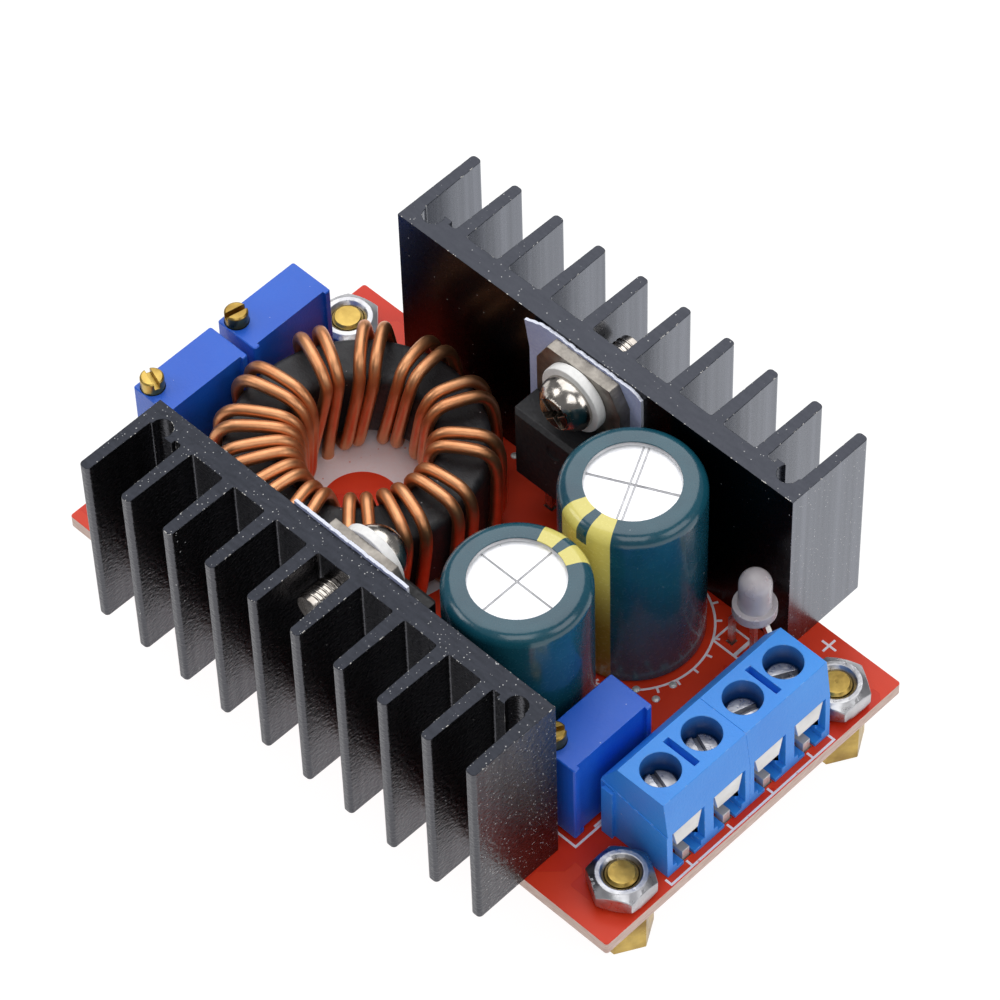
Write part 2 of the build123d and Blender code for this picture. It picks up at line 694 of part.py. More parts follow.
# Trimmers: a moulded box on four feet, a slotted brass screw in one corner and three pins
trimmer_top = board_top + trimmer_height
trimmer_slot_length = 2 * trimmer_screw_radius + trimmer_slot_width
for letter, (centre_x, centre_y), slot_turn in zip("abc", trimmer_places, trimmer_slot_turns):
    screw_x = centre_x - trimmer_width / 2 + trimmer_screw_inset
    screw_y = centre_y - trimmer_length / 2 + trimmer_screw_inset
    sink_floor = trimmer_top - trimmer_screw_sink
    with BuildPart() as trimmer_body:
        with BuildSketch(Plane.XY.offset(board_top + trimmer_foot_height)):
            with Locations((centre_x, centre_y)):
                RectangleRounded(trimmer_width, trimmer_length, trimmer_edge_radius)
        extrude(amount=trimmer_height - trimmer_foot_height)
        chamfer(trimmer_body.faces().sort_by(Axis.Z)[-1].edges(), length=trimmer_edge_chamfer)
        foot_spread_x = trimmer_width - trimmer_foot_size - 2 * trimmer_edge_radius
        foot_spread_y = trimmer_length - trimmer_foot_size - 2 * trimmer_edge_radius
        with BuildSketch(Plane.XY.offset(board_top)):
            with Locations((centre_x, centre_y)):
                with GridLocations(foot_spread_x, foot_spread_y, 2, 2):
                    Rectangle(trimmer_foot_size, trimmer_foot_size)
        extrude(amount=trimmer_foot_height)
        # The side towards +X lies back between two corner ribs up to the top, the other side only below its cap
        panel_length = trimmer_length - 2 * trimmer_rib_width
        body_height = trimmer_height - trimmer_foot_height
        with Locations((centre_x + trimmer_width / 2, centre_y, trimmer_top - body_height / 2)):
            Box(2 * trimmer_front_recess, panel_length, body_height, mode=Mode.SUBTRACT)
        panel_height = body_height - trimmer_cap_height
        with Locations((centre_x - trimmer_width / 2, centre_y, trimmer_top - trimmer_cap_height - panel_height / 2)):
            Box(2 * trimmer_back_recess, panel_length, panel_height, mode=Mode.SUBTRACT)
        with BuildSketch(Plane.XY.offset(sink_floor)):
            with Locations((screw_x, screw_y)):
                Circle(trimmer_screw_radius + running_clearance)
        extrude(amount=trimmer_screw_sink, mode=Mode.SUBTRACT)
        with BuildSketch(Plane.XY.offset(sink_floor)):
            with Locations((screw_x, screw_y)):
                Circle(trimmer_stem_radius + running_clearance)
        extrude(amount=-(trimmer_stem_length + 2 * tip_gap), mode=Mode.SUBTRACT)
    trimmer_body.part.label = f"trimmer_{letter}_body"
    export_step(trimmer_body.part, f"parts/trimmer_{letter}_body.step")

    with BuildPart() as trimmer_screw:
        with BuildSketch(Plane.XY.offset(sink_floor + tip_gap)):
            with Locations((screw_x, screw_y)):
                Circle(trimmer_screw_radius)
        extrude(amount=trimmer_screw_sink + trimmer_screw_rise - tip_gap)
        chamfer(trimmer_screw.faces().sort_by(Axis.Z)[-1].edges(), length=trimmer_screw_chamfer)
        with BuildSketch(Plane.XY.offset(trimmer_top + trimmer_screw_rise - trimmer_slot_depth)):
            with Locations((screw_x, screw_y)):
                Rectangle(trimmer_slot_length, trimmer_slot_width, rotation=slot_turn)
        extrude(amount=trimmer_slot_depth, mode=Mode.SUBTRACT)
        with BuildSketch(Plane.XY.offset(sink_floor + tip_gap)):
            with Locations((screw_x, screw_y)):
                Circle(trimmer_stem_radius)
        extrude(amount=-trimmer_stem_length)
    trimmer_screw.part.label = f"trimmer_{letter}_screw"
    export_step(trimmer_screw.part, f"parts/trimmer_{letter}_screw.step")

    with BuildPart() as trimmer_leads:
        with BuildSketch(Plane.XY.offset(board_bottom)):
            with Locations((centre_x, centre_y)):
                with GridLocations(0, trimmer_pin_pitch, 1, 3):
                    Circle(trimmer_pin_radius)
        extrude(amount=board_thickness + trimmer_foot_height)
    trimmer_leads.part.label = f"trimmer_{letter}_pins"
    export_step(trimmer_leads.part, f"parts/trimmer_{letter}_pins.step")

# Terminal housings: one moulding for each two ways, with a screw well and a wire mouth for each way
mouth_end = terminal_front + mouth_depth
pocket_width = contact_width + 2 * contact_clearance
pocket_back = contact_back - contact_clearance
pocket_top = board_top + contact_top + contact_clearance
for number in (1, 2):
    block_rows = way_rows[2 * number - 2 : 2 * number]
    block_middle = sum(block_rows) / 2
    block_length = 2 * terminal_pitch
    block_start = block_middle - block_length / 2
    with BuildPart() as terminal_housing:
        end_plane = Plane(origin=(0, block_start, board_top), x_dir=(1, 0, 0), z_dir=(0, -1, 0))
        with BuildSketch(end_plane):
            with BuildLine():
                Polyline(
                    (terminal_back, 0),
                    (terminal_front, 0),
                    (terminal_shelf_front, terminal_shelf),
                    (terminal_top_front, terminal_height),
                    (terminal_top_back, terminal_height),
                    (terminal_back, terminal_back_shelf),
                    close=True,
                )
            make_face()
        extrude(amount=-block_length)
        # The first housing's end face stands proud below a sloping ledge and carries a dovetail rib
        rib_x = terminal_back + rib_inset + rib_width / 2
        rib_height = terminal_back_shelf - rib_inset
        rib_plane = Plane(origin=(rib_x, block_start, board_top), x_dir=(1, 0, 0), z_dir=(0, 0, 1))
        if number == 1:
            with BuildSketch(end_plane):
                with BuildLine():
                    Polyline(
                        (terminal_back, 0),
                        (terminal_front, 0),
                        (terminal_shelf_front, terminal_shelf),
                        (terminal_back, end_ledge_back),
                        close=True,
                    )
                make_face()
            extrude(amount=end_ledge_depth)
            with BuildSketch(rib_plane):
                with Locations((0, -rib_reach / 2)):
                    Trapezoid(rib_width + 2 * rib_flare, rib_reach, rib_flank_angle)
            extrude(amount=rib_height)
        for row in block_rows:
            with BuildSketch(Plane.XY.offset(pocket_top)):
                with Locations((terminal_screw_x, row)):
                    Circle(terminal_screw_hole_radius)
            extrude(amount=terminal_height, mode=Mode.SUBTRACT)
            with BuildSketch(Plane(origin=(0, row, board_top), x_dir=(1, 0, 0), z_dir=(0, -1, 0))):
                with BuildLine():
                    Polyline(
                        (pocket_back, terminal_floor - contact_clearance),
                        (mouth_end, terminal_floor - contact_clearance),
                        (mouth_end, contact_top + contact_clearance),
                        (pocket_back, contact_top + contact_clearance),
                        close=True,
                    )
                make_face()
            extrude(amount=pocket_width / 2, both=True, mode=Mode.SUBTRACT)
            # The mouth is wider than the pocket and its top edge is cut thin
            mouth_back = terminal_shelf_front - mouth_depth
            with BuildSketch(Plane(origin=(0, row, board_top), x_dir=(1, 0, 0), z_dir=(0, -1, 0))):
                with BuildLine():
                    Polyline(
                        (mouth_back, mouth_floor),
                        (mouth_end, mouth_floor),
                        (mouth_end, terminal_shelf),
                        (terminal_shelf_front, terminal_shelf),
                        (mouth_back, contact_top + 2 * contact_clearance),
                        close=True,
                    )
                make_face()
            extrude(amount=mouth_width / 2, both=True, mode=Mode.SUBTRACT)
            with BuildSketch(Plane.XY.offset(board_top)):
                with Locations(((floor_slot_back + mouth_end) / 2, row)):
                    Rectangle(mouth_end - floor_slot_back, floor_slot_width)
            extrude(amount=mouth_floor, mode=Mode.SUBTRACT)
        with BuildSketch(Plane.XY.offset(board_top + terminal_height)):
            with Locations((terminal_screw_x, block_middle)):
                Rectangle(divider_slot_length, divider_slot_width)
        extrude(amount=-divider_slot_depth, mode=Mode.SUBTRACT)
    terminal_housing.part.label = f"terminal_housing_{number}"
    export_step(terminal_housing.part, f"parts/terminal_housing_{number}.step")

# Terminal metal: a folded contact with its pin, a clamp plate inside it and the screw that drives the plate
contact_bottom = board_top + terminal_floor
contact_floor_front = floor_slot_back - contact_tongue_gap
clamp_bottom = board_top + clamp_rest
head_bottom = board_top + terminal_head_rest
terminal_slot_length = 2 * terminal_head_radius + terminal_slot_width
for way, row in enumerate(way_rows, start=1):
    side_plane = Plane(origin=(0, row, board_top), x_dir=(1, 0, 0), z_dir=(0, -1, 0))
    with BuildPart() as terminal_contact:
        with BuildSketch(side_plane):
            with BuildLine():
                Polyline(
                    (contact_back, terminal_floor),
                    (contact_floor_front, terminal_floor),
                    (contact_floor_front, terminal_floor + contact_floor_thickness),
                    (contact_back + contact_back_thickness, terminal_floor + contact_floor_thickness),
                    (contact_back + contact_back_thickness, contact_top - contact_top_thickness),
                    (contact_front, contact_top - contact_top_thickness),
                    (contact_front, contact_top),
                    (contact_back, contact_top),
                    close=True,
                )
            make_face()
        extrude(amount=contact_width / 2, both=True)
        # A leaf hangs from the front of the contact's top, in the mouth
        with BuildSketch(Plane(origin=(contact_front, row, board_top), x_dir=(0, 1, 0), z_dir=(1, 0, 0))):
            with BuildLine():
                Polyline(
                    (-leaf_bottom_width / 2, leaf_bottom),
                    (leaf_bottom_width / 2, leaf_bottom),
                    (leaf_top_width / 2, contact_top),
                    (-leaf_top_width / 2, contact_top),
                    close=True,
                )
            make_face()
        extrude(amount=-leaf_thickness)
        # A tongue leads through the floor slot to the pin
        tongue_end = terminal_pin_x + contact_pin_width / 2
        with BuildSketch(Plane.XY.offset(contact_bottom)):
            with Locations(((contact_floor_front + tongue_end) / 2, row)):
                Rectangle(tongue_end - contact_floor_front, contact_pin_width)
        extrude(amount=contact_floor_thickness)
        with BuildSketch(Plane.XY.offset(board_top + contact_top)):
            with Locations((terminal_screw_x, row)):
                Circle(terminal_thread_radius + running_clearance)
        extrude(amount=-contact_top_thickness, mode=Mode.SUBTRACT)
        with BuildSketch(Plane.XY.offset(board_bottom)):
            with Locations((terminal_pin_x, row)):
                Rectangle(contact_pin_width, contact_pin_width)
        extrude(amount=contact_bottom - board_bottom)
    terminal_contact.part.label = f"terminal_contact_{way}"
    export_step(terminal_contact.part, f"parts/terminal_contact_{way}.step")

    with BuildPart() as terminal_clamp:
        with BuildSketch(side_plane):
            with BuildLine():
                lip_start = clamp_front - clamp_lip_length
                Polyline(
                    (clamp_back, clamp_rest),
                    (lip_start, clamp_rest),
                    (clamp_front, clamp_rest + clamp_lip_rise),
                    (clamp_front, clamp_rest + clamp_lip_rise + clamp_thickness),
                    (lip_start, clamp_rest + clamp_thickness),
                    (clamp_back, clamp_rest + clamp_thickness),
                    close=True,
                )
            make_face()
        extrude(amount=clamp_width / 2, both=True)
        with BuildSketch(Plane.XY.offset(clamp_bottom)):
            with Locations((terminal_screw_x, row)):
                Circle(terminal_tip_radius + running_clearance)
        extrude(amount=clamp_thickness, mode=Mode.SUBTRACT)
    terminal_clamp.part.label = f"terminal_clamp_{way}"
    export_step(terminal_clamp.part, f"parts/terminal_clamp_{way}.step")

    shank_bottom = clamp_bottom + clamp_thickness + tip_gap
    with BuildPart() as terminal_screw:
        with BuildSketch(Plane.XY.offset(head_bottom)):
            with Locations((terminal_screw_x, row)):
                Circle(terminal_head_radius)
        extrude(amount=terminal_head_height)
        chamfer(terminal_screw.faces().sort_by(Axis.Z)[-1].edges(), length=terminal_head_chamfer)
        with BuildSketch(Plane.XY.offset(head_bottom + terminal_head_height - terminal_slot_depth)):
            with Locations((terminal_screw_x, row)):
                Rectangle(terminal_slot_length, terminal_slot_width, rotation=slot_turns[way - 1])
        extrude(amount=terminal_slot_depth, mode=Mode.SUBTRACT)
        with BuildSketch(Plane.XY.offset(shank_bottom)):
            with Locations((terminal_screw_x, row)):
                Circle(terminal_thread_radius)
        extrude(amount=head_bottom - shank_bottom)
        with BuildSketch(Plane.XY.offset(clamp_bottom + tip_gap)):
            with Locations((terminal_screw_x, row)):
                Circle(terminal_tip_radius)
        extrude(amount=shank_bottom - clamp_bottom - tip_gap)
    terminal_screw.part.label = f"terminal_screw_{way}"
    export_step(terminal_screw.part, f"parts/terminal_screw_{way}.step")

# Indicator lamp: a round lens with a flange, and three leads that spread to the board's pitch
lens_bottom = board_top + lamp_bottom
lens_top = lens_bottom + lamp_height
with BuildPart() as lamp_lens:
    with BuildSketch(Plane(origin=(lamp_x, lamp_y, 0), x_dir=(1, 0, 0), z_dir=(0, -1, 0))):
        with BuildLine():
            Polyline(
                (0, lens_bottom),
                (lamp_flange_radius, lens_bottom),
                (lamp_flange_radius, lens_bottom + lamp_flange_height),
                (lamp_radius, lens_bottom + lamp_flange_height),
                (lamp_radius, lens_top - lamp_radius),
            )
            RadiusArc((lamp_radius, lens_top - lamp_radius), (0, lens_top), -lamp_radius)
            Line((0, lens_top), (0, lens_bottom))
        make_face()
    revolve(axis=Axis((lamp_x, lamp_y, 0), (0, 0, 1)))
lamp_lens.part.label = "lamp_lens"
export_step(lamp_lens.part, "parts/lamp_lens.step")

with BuildPart() as lamp_leads:
    for step in (-1, 0, 1):
        with BuildSketch(Plane(origin=(lamp_x, lamp_y, 0), x_dir=(1, 0, 0), z_dir=(0, -1, 0))):
            with BuildLine():
                Polyline(
                    (step * lamp_lead_pitch, lens_bottom),
                    (step * lamp_lead_pitch, board_top + lamp_bend_top),
                    (step * lamp_board_pitch, board_top + lamp_bend_bottom),
                    (step * lamp_board_pitch, board_bottom),
                )
            trace(line_width=lamp_lead_width)
        extrude(amount=lamp_lead_width / 2, both=True)
lamp_leads.part.label = "lamp_leads"
export_step(lamp_leads.part, "parts/lamp_leads.step")

# Chips under the board: a moulded body with bent leads on two sides
chip_top = board_bottom - chip_lift
for name, (centre_x, centre_y) in (("control_chip", control_chip_place), ("amplifier_chip", amplifier_chip_place)):
    with BuildPart() as chip_body:
        with BuildSketch(Plane.XY.offset(chip_top)):
            with Locations((centre_x, centre_y)):
                Rectangle(chip_width, chip_length)
        extrude(amount=-chip_height)
        chamfer(chip_body.faces().sort_by(Axis.Z)[0].edges(), length=chip_bevel)
    chip_body.part.label = f"{name}_body"
    export_step(chip_body.part, f"parts/{name}_body.step")

    lead_rows = [(row - (chip_lead_count - 1) / 2) * chip_lead_pitch for row in range(chip_lead_count)]
    with BuildPart() as chip_leads:
        for side in (-1, 1):
            for row in lead_rows:
                chip_side = Plane(origin=(centre_x, centre_y + row, 0), x_dir=(side, 0, 0), z_dir=(0, side, 0))
                with BuildSketch(chip_side):
                    knee = chip_width / 2 + chip_lead_reach * chip_knee_share
                    with BuildLine():
                        Polyline(
                            (chip_width / 2, -(chip_top - chip_height / 2)),
                            (knee, -(chip_top - chip_height / 2)),
                            (knee + chip_knee_slant, -(board_bottom - chip_lead_thickness / 2)),
                            (chip_width / 2 + chip_lead_reach, -(board_bottom - chip_lead_thickness / 2)),
                        )
                    trace(line_width=chip_lead_thickness)
                extrude(amount=chip_lead_width / 2, both=True)
    chip_leads.part.label = f"{name}_leads"
    export_step(chip_leads.part, f"parts/{name}_leads.step")

# Current sensing resistor and the small resistors and capacitors
with BuildPart() as sense_resistor:
    with BuildSketch(Plane.XY.offset(board_bottom)):
        with Locations(sense_place):
            Rectangle(sense_width, sense_length)
    extrude(amount=-sense_height)
sense_resistor.part.label = "sense_resistor"
export_step(sense_resistor.part, "parts/sense_resistor.step")

with BuildPart() as chip_resistors:
    with BuildSketch(Plane.XY.offset(board_bottom)):
        with Locations(*chip_resistor_places):
            Rectangle(chip_resistor_length, chip_resistor_width)
    extrude(amount=-chip_resistor_height)
chip_resistors.part.label = "chip_resistors"
export_step(chip_resistors.part, "parts/chip_resistors.step")

with BuildPart() as chip_capacitors:
    with BuildSketch(Plane.XY.offset(board_bottom)):
        with Locations(*chip_capacitor_places):
            Rectangle(chip_capacitor_length, chip_capacitor_width)
    extrude(amount=-chip_capacitor_height)
chip_capacitors.part.label = "chip_capacitors"
export_step(chip_capacitors.part, "parts/chip_capacitors.step")

# Solder cones under the board, one at each lead
all_pins = capacitor_pins + trimmer_pins + lamp_pins + transistor_pins + terminal_pins + wire_pins
with BuildPart() as solder_joints:
    with Locations(*[(pin_x, pin_y, board_bottom - joint_height / 2) for pin_x, pin_y in all_pins]):
        Cone(joint_tip_radius, joint_radius, joint_height)
solder_joints.part.label = "solder_joints"
export_step(solder_joints.part, "parts/solder_joints.step")
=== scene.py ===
import json
from math import copysign, cos, pi, radians, sin

import bmesh
import bpy
from mathutils import Matrix, Vector, noise

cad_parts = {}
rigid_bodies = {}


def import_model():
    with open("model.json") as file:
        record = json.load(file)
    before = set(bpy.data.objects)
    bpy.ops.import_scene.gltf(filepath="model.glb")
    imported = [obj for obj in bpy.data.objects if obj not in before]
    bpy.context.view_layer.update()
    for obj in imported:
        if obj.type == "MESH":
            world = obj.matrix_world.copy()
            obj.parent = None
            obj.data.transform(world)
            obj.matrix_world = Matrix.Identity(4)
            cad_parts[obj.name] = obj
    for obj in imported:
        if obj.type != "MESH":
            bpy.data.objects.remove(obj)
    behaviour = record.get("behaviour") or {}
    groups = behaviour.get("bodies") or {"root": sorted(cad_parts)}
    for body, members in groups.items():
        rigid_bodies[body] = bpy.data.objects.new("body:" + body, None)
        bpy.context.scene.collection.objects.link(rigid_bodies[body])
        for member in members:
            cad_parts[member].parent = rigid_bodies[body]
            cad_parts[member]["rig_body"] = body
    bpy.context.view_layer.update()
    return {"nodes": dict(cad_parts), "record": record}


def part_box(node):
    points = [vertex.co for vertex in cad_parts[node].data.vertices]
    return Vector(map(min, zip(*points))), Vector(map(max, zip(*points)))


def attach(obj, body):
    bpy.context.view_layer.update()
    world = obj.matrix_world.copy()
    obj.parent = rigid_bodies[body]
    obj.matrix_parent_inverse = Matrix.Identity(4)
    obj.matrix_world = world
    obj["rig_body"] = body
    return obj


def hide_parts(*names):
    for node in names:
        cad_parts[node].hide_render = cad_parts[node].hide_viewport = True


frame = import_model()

# A step-up step-down converter module: red board, two finned heatsinks, wound choke,
# two capacitors, three trimmers and a row of screw terminals.
# Lengths in the dictionaries are in millimetres and become metres through mm.

mm = 0.001
print("loaded", len(frame["nodes"]), "nodes")


def tint(red, green, blue):
    # a colour as it looks on screen, 0 to 255, turned into the linear one that shaders take
    linear = []
    for value in (red, green, blue):
        share = value / 255
        linear.append(share / 12.92 if share < 0.04 else ((share + 0.055) / 1.055) ** 2.4)
    return (*linear, 1.0)


def addObject(name, data):
    piece = bpy.data.objects.new(name, data)
    bpy.context.scene.collection.objects.link(piece)
    return piece


def put(tree, kind, sockets=None, **settings):
    # one node, with its settings made and its sockets linked or filled in
    node = tree.nodes.new(kind)
    for key, value in settings.items():
        setattr(node, key, value)
    for key, value in (sockets or {}).items():
        if isinstance(value, bpy.types.NodeSocket):
            tree.links.new(value, node.inputs[key])
        else:
            node.inputs[key].default_value = value
    return node


def reckon(tree, operation, first, second=0.0):
    return put(tree, "ShaderNodeMath", {0: first, 1: second}, operation=operation).outputs[0]


def plus(tree, first, second):
    return reckon(tree, "ADD", first, second)


def minus(tree, first, second):
    return reckon(tree, "SUBTRACT", first, second)


def times(tree, first, second):
    return reckon(tree, "MULTIPLY", first, second)


def larger(tree, first, second):
    return reckon(tree, "MAXIMUM", first, second)


def radial(tree, across, along):
    # distance from the middle of a round thing, from its two flat coordinates
    return reckon(tree, "SQRT", plus(tree, times(tree, across, across), times(tree, along, along)))


def blendColors(tree, share, low, high):
    return put(tree, "ShaderNodeMix", {0: share, 6: low, 7: high}, data_type="RGBA").outputs[2]


def between(tree, value, low, high, start=0.0, end=1.0):
    # start below low, end above high, and a straight ramp from one to the other
    sockets = {"Value": value, "From Min": low, "From Max": high, "To Min": start, "To Max": end}
    return put(tree, "ShaderNodeMapRange", sockets).outputs[0]


def objectPlace(tree):
    return put(tree, "ShaderNodeTexCoord").outputs["Object"]


def split(tree, vector):
    return put(tree, "ShaderNodeSeparateXYZ", {0: vector}).outputs


def placeFrom(tree, centre):
    # object coordinates measured from a point
    vectors = {0: objectPlace(tree), 1: centre}
    return split(tree, put(tree, "ShaderNodeVectorMath", vectors, operation="SUBTRACT").outputs[0])


def leftOf(tree, parts, heading):
    # how far a place lies to the left of a heading in the plane
    return minus(tree, times(tree, parts["Y"], cos(heading)), times(tree, parts["X"], sin(heading)))


# Effects that several materials share, as shader node groups

def effectGroup(name, inputs, outputs):
    tree = bpy.data.node_groups.new(name, "ShaderNodeTree")
    for label, value in inputs.items():
        kind = "NodeSocketVector" if isinstance(value, tuple) else "NodeSocketFloat"
        tree.interface.new_socket(label, in_out="INPUT", socket_type=kind).default_value = value
    for label in outputs:
        tree.interface.new_socket(label, in_out="OUTPUT", socket_type="NodeSocketFloat")
    return tree, tree.nodes.new("NodeGroupInput"), tree.nodes.new("NodeGroupOutput")


def makeGrain():
    # soft uneven tone, stretched along any axis, from Low to High
    inputs = {"Scale": 1000.0, "Stretch": (1.0, 1.0, 1.0), "Detail": 4.0, "Low": 0.0, "High": 1.0}
    tree, given, result = effectGroup("grain", inputs, ["Value"])
    vectors = {0: objectPlace(tree), 1: given.outputs["Stretch"]}
    vector = put(tree, "ShaderNodeVectorMath", vectors, operation="MULTIPLY").outputs[0]
    sockets = {"Vector": vector, "Scale": given.outputs["Scale"], "Detail": given.outputs["Detail"]}
    texture = put(tree, "ShaderNodeTexNoise", sockets).outputs["Fac"]
    value = between(tree, texture, 0.3, 0.7, given.outputs["Low"], given.outputs["High"])
    tree.links.new(value, result.inputs["Value"])
    return tree


def makeSpecks():
    # scattered small round spots: dust, saw crumbs and pinholes
    inputs = {"Scale": 1200.0, "Size": 0.25, "Share": 0.3}
    tree, given, result = effectGroup("specks", inputs, ["Mask"])
    sockets = {"Vector": objectPlace(tree), "Scale": given.outputs["Scale"]}
    cells = put(tree, "ShaderNodeTexVoronoi", sockets)
    random = put(tree, "ShaderNodeSeparateColor", {0: cells.outputs["Color"]})
    chosen = reckon(tree, "LESS_THAN", random.outputs[0], given.outputs["Share"])
    spread = between(tree, random.outputs[1], 0.0, 1.0, 0.25, 1.0)
    reach = times(tree, given.outputs["Size"], spread)
    inside = reckon(tree, "LESS_THAN", cells.outputs["Distance"], reach)
    tree.links.new(times(tree, chosen, inside), result.inputs["Mask"])
    return tree


def makeEdgeWear():
    # broken wear along the rounded edges, which carry the attribute edge
    inputs = {"Scale": 2500.0, "Amount": 0.5}
    tree, given, result = effectGroup("edgeWear", inputs, ["Mask"])
    edge = put(tree, "ShaderNodeAttribute", attribute_name="edge").outputs["Fac"]
    sockets = {"Vector": objectPlace(tree), "Scale": given.outputs["Scale"], "Detail": 5.0}
    texture = put(tree, "ShaderNodeTexNoise", sockets).outputs["Fac"]
    threshold = minus(tree, 1.0, given.outputs["Amount"])
    worn = reckon(tree, "GREATER_THAN", texture, threshold)
    tree.links.new(times(tree, edge, worn), result.inputs["Mask"])
    return tree


effects = {"grain": makeGrain(), "specks": makeSpecks(), "edgeWear": makeEdgeWear()}
print("made the shared effects")


def effect(tree, name, **values):
    node = put(tree, "ShaderNodeGroup", node_tree=effects[name])
    for label, value in values.items():
        node.inputs[label].default_value = value
    return node.outputs[0]


def surface(name, **constants):
    # an empty material whose shader has its constant sockets set
    material = bpy.data.materials.new(name)
    material.use_nodes = True
    tree = material.node_tree
    shader = tree.nodes["Principled BSDF"]
    for label, value in constants.items():
        shader.inputs[label.replace("_", " ")].default_value = value
    return material, tree, shader


def feed(tree, shader, **values):
    for label, value in values.items():
        tree.links.new(value, shader.inputs[label.replace("_", " ")])


def bumped(tree, height, distance):
    return put(tree, "ShaderNodeBump", {"Height": height, "Distance": distance * mm}).outputs[0]


# Meshes taken from the frame, welded and given small rounded edges

def smoothAll(mesh):
    for face in mesh.faces:
        face.smooth = True


def welded(nodeName, flatAngle=0.6):
    mesh = bmesh.new()
    mesh.from_mesh(frame["nodes"][nodeName].data)
    bmesh.ops.remove_doubles(mesh, verts=mesh.verts, dist=0.0005 * mm)
    bmesh.ops.dissolve_limit(mesh, angle_limit=radians(flatAngle), verts=mesh.verts, edges=mesh.edges)
    smoothAll(mesh)
    return mesh


def newPiece(name, mesh):
    data = bpy.data.meshes.new(name)
    mesh.to_mesh(data)
    mesh.free()
    piece = addObject(name, data)
    if "custom_normal" in data.attributes:
        data.attributes.remove(data.attributes["custom_normal"])
    return piece


def settle(piece):
    # the result of the modifiers as a plain mesh, with no modifier left
    graph = bpy.context.evaluated_depsgraph_get()
    result = bpy.data.meshes.new_from_object(piece.evaluated_get(graph))
    piece.modifiers.clear()
    piece.data = result
    return piece


def weighEdges(piece, angle, seam):
    # sharp edges get a bevel weight, except those in the plane y = seam where two pieces meet
    mesh = bmesh.new()
    mesh.from_mesh(piece.data)
    weight = mesh.edges.layers.float.new("bevel_weight_edge")
    near = 0.02 * mm
    for edge in mesh.edges:
        sharp = edge.is_manifold and edge.calc_face_angle() > radians(angle)
        meeting = all(abs(corner.co.y - seam * mm) < near for corner in edge.verts)
        edge[weight] = 1.0 if sharp and not meeting else 0.0
        edge.smooth = not (sharp and meeting)
    mesh.to_mesh(piece.data)
    mesh.free()


def roundEdges(piece, width, segments=2, angle=32, seam=None):
    if seam is not None:
        weighEdges(piece, angle, seam)
    bevel = piece.modifiers.new("edges", "BEVEL")
    bevel.width = width * mm
    bevel.segments = segments
    bevel.limit_method = "ANGLE" if seam is None else "WEIGHT"
    bevel.angle_limit = radians(angle)
    bevel.use_clamp_overlap = False
    bevel.harden_normals = True
    # the new faces get the second of two empty slots, which tells them apart for the attribute edge
    piece.data.materials.append(None)
    piece.data.materials.append(None)
    bevel.material = 1
    settle(piece)
    edge = piece.data.attributes.new("edge", "FLOAT", "FACE")
    edge.data.foreach_set("value", [float(face.material_index) for face in piece.data.polygons])
    for face in piece.data.polygons:
        face.material_index = 0
    piece.data.materials.clear()
    return piece


def sharpen(piece, angle=32):
    piece.data.set_sharp_from_angle(angle=radians(angle))
    return piece


def seat(piece, body, slotName, *nodeNames):
    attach(piece, body)
    if nodeNames:
        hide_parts(*nodeNames)
    return piece


slotOf = {row["node"]: row["material_slot"] for row in frame["record"]["subparts"]}


def dress(nodeName, material, edge=0.0, segments=2, flatAngle=0.6, change=None, seam=None):
    # a welded copy of a node with rounded edges and its finish, in the node's place
    mesh = welded(nodeName, flatAngle)
    if change:
        change(mesh)
    piece = newPiece(nodeName + ".dressed", mesh)
    if edge:
        roundEdges(piece, edge, segments, seam=seam)
    else:
        sharpen(piece)
    piece.data.materials.append(material)
    return seat(piece, frame["nodes"][nodeName]["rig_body"], slotOf[nodeName], nodeName)


def paint(nodeName, material):
    # a node that keeps its own mesh and gets a finish in its slot
    piece = frame["nodes"][nodeName]
    if piece.data.materials:
        piece.data.materials[0] = material
    else:
        piece.data.materials.append(material)


# Geometry Nodes trees

def geometryTree(name, inputs):
    tree = bpy.data.node_groups.new(name, "GeometryNodeTree")
    tree.interface.new_socket("Geometry", in_out="INPUT", socket_type="NodeSocketGeometry")
    for label, value in inputs.items():
        kind = "NodeSocketInt" if isinstance(value, int) else "NodeSocketFloat"
        tree.interface.new_socket(label, in_out="INPUT", socket_type=kind).default_value = value
    tree.interface.new_socket("Geometry", in_out="OUTPUT", socket_type="NodeSocketGeometry")
    return tree, tree.nodes.new("NodeGroupInput").outputs, tree.nodes.new("NodeGroupOutput")


def grow(name, points, tree, radius, step, sides):
    # a line of points, made a tube by a tree
    data = bpy.data.meshes.new(name)
    edges = [(index, index + 1) for index in range(len(points) - 1)]
    data.from_pydata([Vector(point) * mm for point in points], edges, [])
    piece = addObject(name, data)
    modifier = piece.modifiers.new(name, "NODES")
    modifier.node_group = tree
    sizes = {"Radius": radius * mm, "Step": step * mm, "Sides": sides}
    for item in tree.interface.items_tree:
        if item.in_out == "INPUT" and item.name in sizes:
            modifier[item.identifier] = sizes[item.name]
    return settle(piece)


